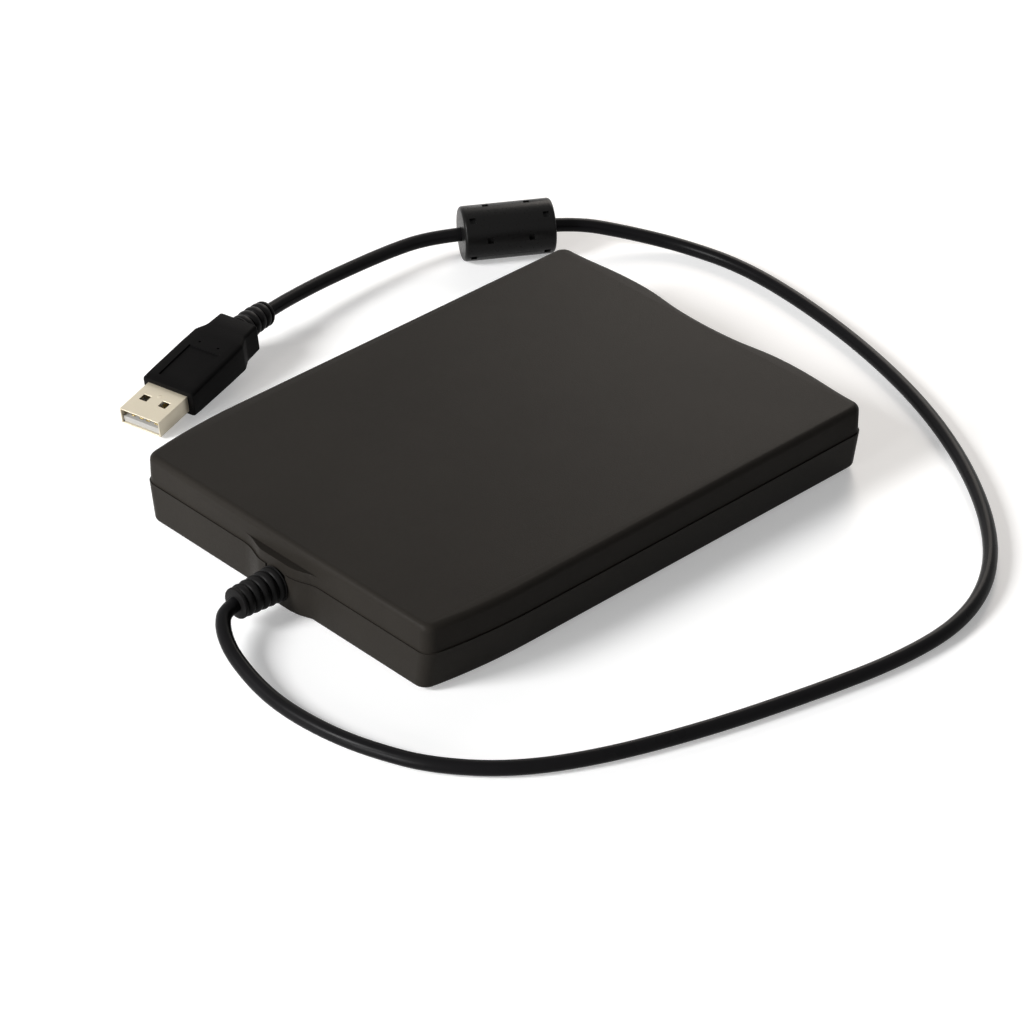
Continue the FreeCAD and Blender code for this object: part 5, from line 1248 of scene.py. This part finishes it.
    def build(self) -> None:
        """Build the lead and dress what is on it."""
        finish_piece(self.boot(), Body.ROOT, BOOT_SKIN, "boot_black", "cord_boot")
        finish_piece(self.on_plug(PlugGrip().drawn()), Body.ROOT, GRIP_SKIN, "plug_black", "plug_grip")
        finish_piece(self.plug_sleeve(), Body.ROOT, BOOT_SKIN, "boot_black", "plug_boot")
        finish_piece(self.shell_dimple(), Body.ROOT, NICKEL, "plug_nickel")
        dress(FERRITE_SKIN, "ferrite_shell", "ferrite_cover", rounding=0.1)
        dress(FERRITE_GREY, "ferrite_grey", "ferrite_core", rounding=0.1)
        dress(NICKEL, "plug_nickel", "plug_shell", rounding=0.08)
        dress(TONGUE_SKIN, "tongue_white", "plug_tongue", rounding=0.06)
        dress(GOLD, "contact_gold", "plug_contacts", rounding=0.03)
        piece = finish_piece(self.cord(), Body.ROOT, CORD_SKIN, "cord_black", "cord_main", "cord_plug_end")


# -------- studio
def show_white(tree: bpy.types.NodeTree, lit: Socket, white: Socket, output: Socket) -> None:
    """Let camera, glossy and transmission rays see the white shader and all other rays the lit one.

    Args:
        tree: The node tree.
        lit: The shader for the light that falls on things.
        white: The shader that is seen.
        output: The output's surface.
    """
    path = tree.nodes.new("ShaderNodeLightPath")
    seen = path.outputs["Is Camera Ray"]
    for kind in ("Is Glossy Ray", "Is Transmission Ray"):
        either = tree.nodes.new("ShaderNodeMath")
        either.operation = "MAXIMUM"
        tree.links.new(seen, either.inputs[0])
        tree.links.new(path.outputs[kind], either.inputs[1])
        seen = either.outputs["Value"]
    choose = tree.nodes.new("ShaderNodeMixShader")
    for index, source in enumerate((seen, lit, white)):
        tree.links.new(source, choose.inputs[index])
    tree.links.new(choose.outputs["Shader"], output)


@dataclass(frozen=True)
class SoftLamp:
    """A square soft lamp that looks at the drive.

    Its place and its edge are in metres and its power is in watts.  Warmth is how much less blue than red
    it gives, with half of that less green.
    """

    name: str
    place: Point
    size: float
    power: float
    warmth: float = 0.0

    def build(self) -> None:
        """Put the lamp in the scene."""
        data = bpy.data.lights.new(self.name, "AREA")
        data.shape = "SQUARE"
        data.size = self.size
        data.energy = self.power
        data.color = (1.0, 1.0 - self.warmth / 2.0, 1.0 - self.warmth)
        turn = (-Vector(self.place)).to_track_quat("-Z", "Y")
        in_scene(self.name, data).matrix_world = Matrix.Translation(self.place) @ turn.to_matrix().to_4x4()


LAMPS = (
    SoftLamp("key", (0.44, 1.28, 0.84), 0.5, 31.0),
    SoftLamp("far_sheen", (0.30, -0.50, 0.30), 0.3, 1.3, warmth=0.16),
    SoftLamp("side_sheen", (1.0, -0.55, 0.35), 0.5, 0.45, warmth=0.16),
    SoftLamp("rear_fill", (-0.05, 1.3, 0.2), 0.5, 12.0),
)


@dataclass(frozen=True)
class Studio:
    """Floor, sky, lamps and camera."""

    eye: Point = (-630.6, 590.2, 572.0)
    right: Point = (-0.6851, -0.7284, 0.0)
    up: Point = (0.4050, -0.3810, 0.8311)
    back: Point = (-0.6054, 0.5695, 0.5560)
    focal_length: float = 153.0
    film_width: float = 36.0
    nearest: float = 0.01
    farthest: float = 50.0
    floor_size: float = 6.0
    floor_drop: float = 0.05 * MM
    floor_colour: Colour = (0.82, 0.82, 0.82)
    glow_near: float = 0.35
    glow_far: float = 1.0
    glow_start: float = 0.14
    glow_end: float = 0.6
    sky_light: float = 0.04

    def camera(self) -> None:
        """Put the camera at its place and make it the scene's own."""
        data = bpy.data.cameras.new("camera")
        data.lens = self.focal_length
        data.sensor_width = self.film_width
        data.clip_start = self.nearest
        data.clip_end = self.farthest
        eye = in_scene("camera", data)
        axes = Matrix((self.right, self.up, self.back)).transposed().to_4x4()
        eye.matrix_world = Matrix.Translation(Vector(self.eye) * MM) @ axes
        bpy.context.scene.camera = eye

    def floor(self) -> None:
        """A white, faintly glossy table, shown whiter away from the drive."""
        shape = bmesh.new()
        bmesh.ops.create_grid(shape, x_segments=1, y_segments=1, size=self.floor_size / 2.0,
                              matrix=Matrix.Translation((0.0, 0.0, -self.floor_drop)))
        floor = from_shape("floor", shape)
        bench = NodeBench("table_white")
        bench.set(Base_Color=(*self.floor_colour, 1.0), Roughness=0.35, Specular_IOR_Level=0.25)
        where = bench.add("ShaderNodeTexCoord")
        away = bench.add("ShaderNodeVectorMath", operation="LENGTH")
        glow = bench.add("ShaderNodeEmission")
        both = bench.add("ShaderNodeAddShader")
        bench.link(where.outputs["Object"], away.inputs[0])
        rise = bench.spread(away.outputs["Value"], self.glow_near, self.glow_far, self.glow_start,
                            self.glow_end)
        bench.link(rise, glow.inputs["Strength"])
        lit = bench.shader.outputs["BSDF"]
        bench.link(lit, both.inputs[0])
        bench.link(glow.outputs["Emission"], both.inputs[1])
        show_white(bench.tree, lit, both.outputs["Shader"], bench.output.inputs["Surface"])
        floor.data.materials.append(bench.material)

    def sky(self) -> None:
        """Even faint light, shown white as the backdrop."""
        world = bpy.data.worlds.new("studio")
        bpy.context.scene.world = world
        world.use_nodes = True
        tree = world.node_tree
        tree.nodes.clear()
        output = tree.nodes.new("ShaderNodeOutputWorld")
        shaders = []
        for strength in (self.sky_light, 1.0):
            light = tree.nodes.new("ShaderNodeBackground")
            fill(light, Color=(1.0, 1.0, 1.0, 1.0), Strength=strength)
            shaders.append(light.outputs["Background"])
        show_white(tree, *shaders, output.inputs["Surface"])

    def build(self) -> None:
        """Set the whole studio up."""
        self.camera()
        self.floor()
        self.sky()
        for lamp in LAMPS:
            lamp.build()
        bpy.context.scene.view_settings.view_transform = "Standard"


def main() -> None:
    """Build every sub-assembly."""
    logging.basicConfig(level=logging.INFO, format="%(name)s: %(message)s")
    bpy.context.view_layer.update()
    for assembly in (Studio(), Case(), Mechanism(), Electronics(), Lead()):
        assembly.build()
        LOG.info("built %s", type(assembly).__name__)


if __name__ == "__main__":
    main()
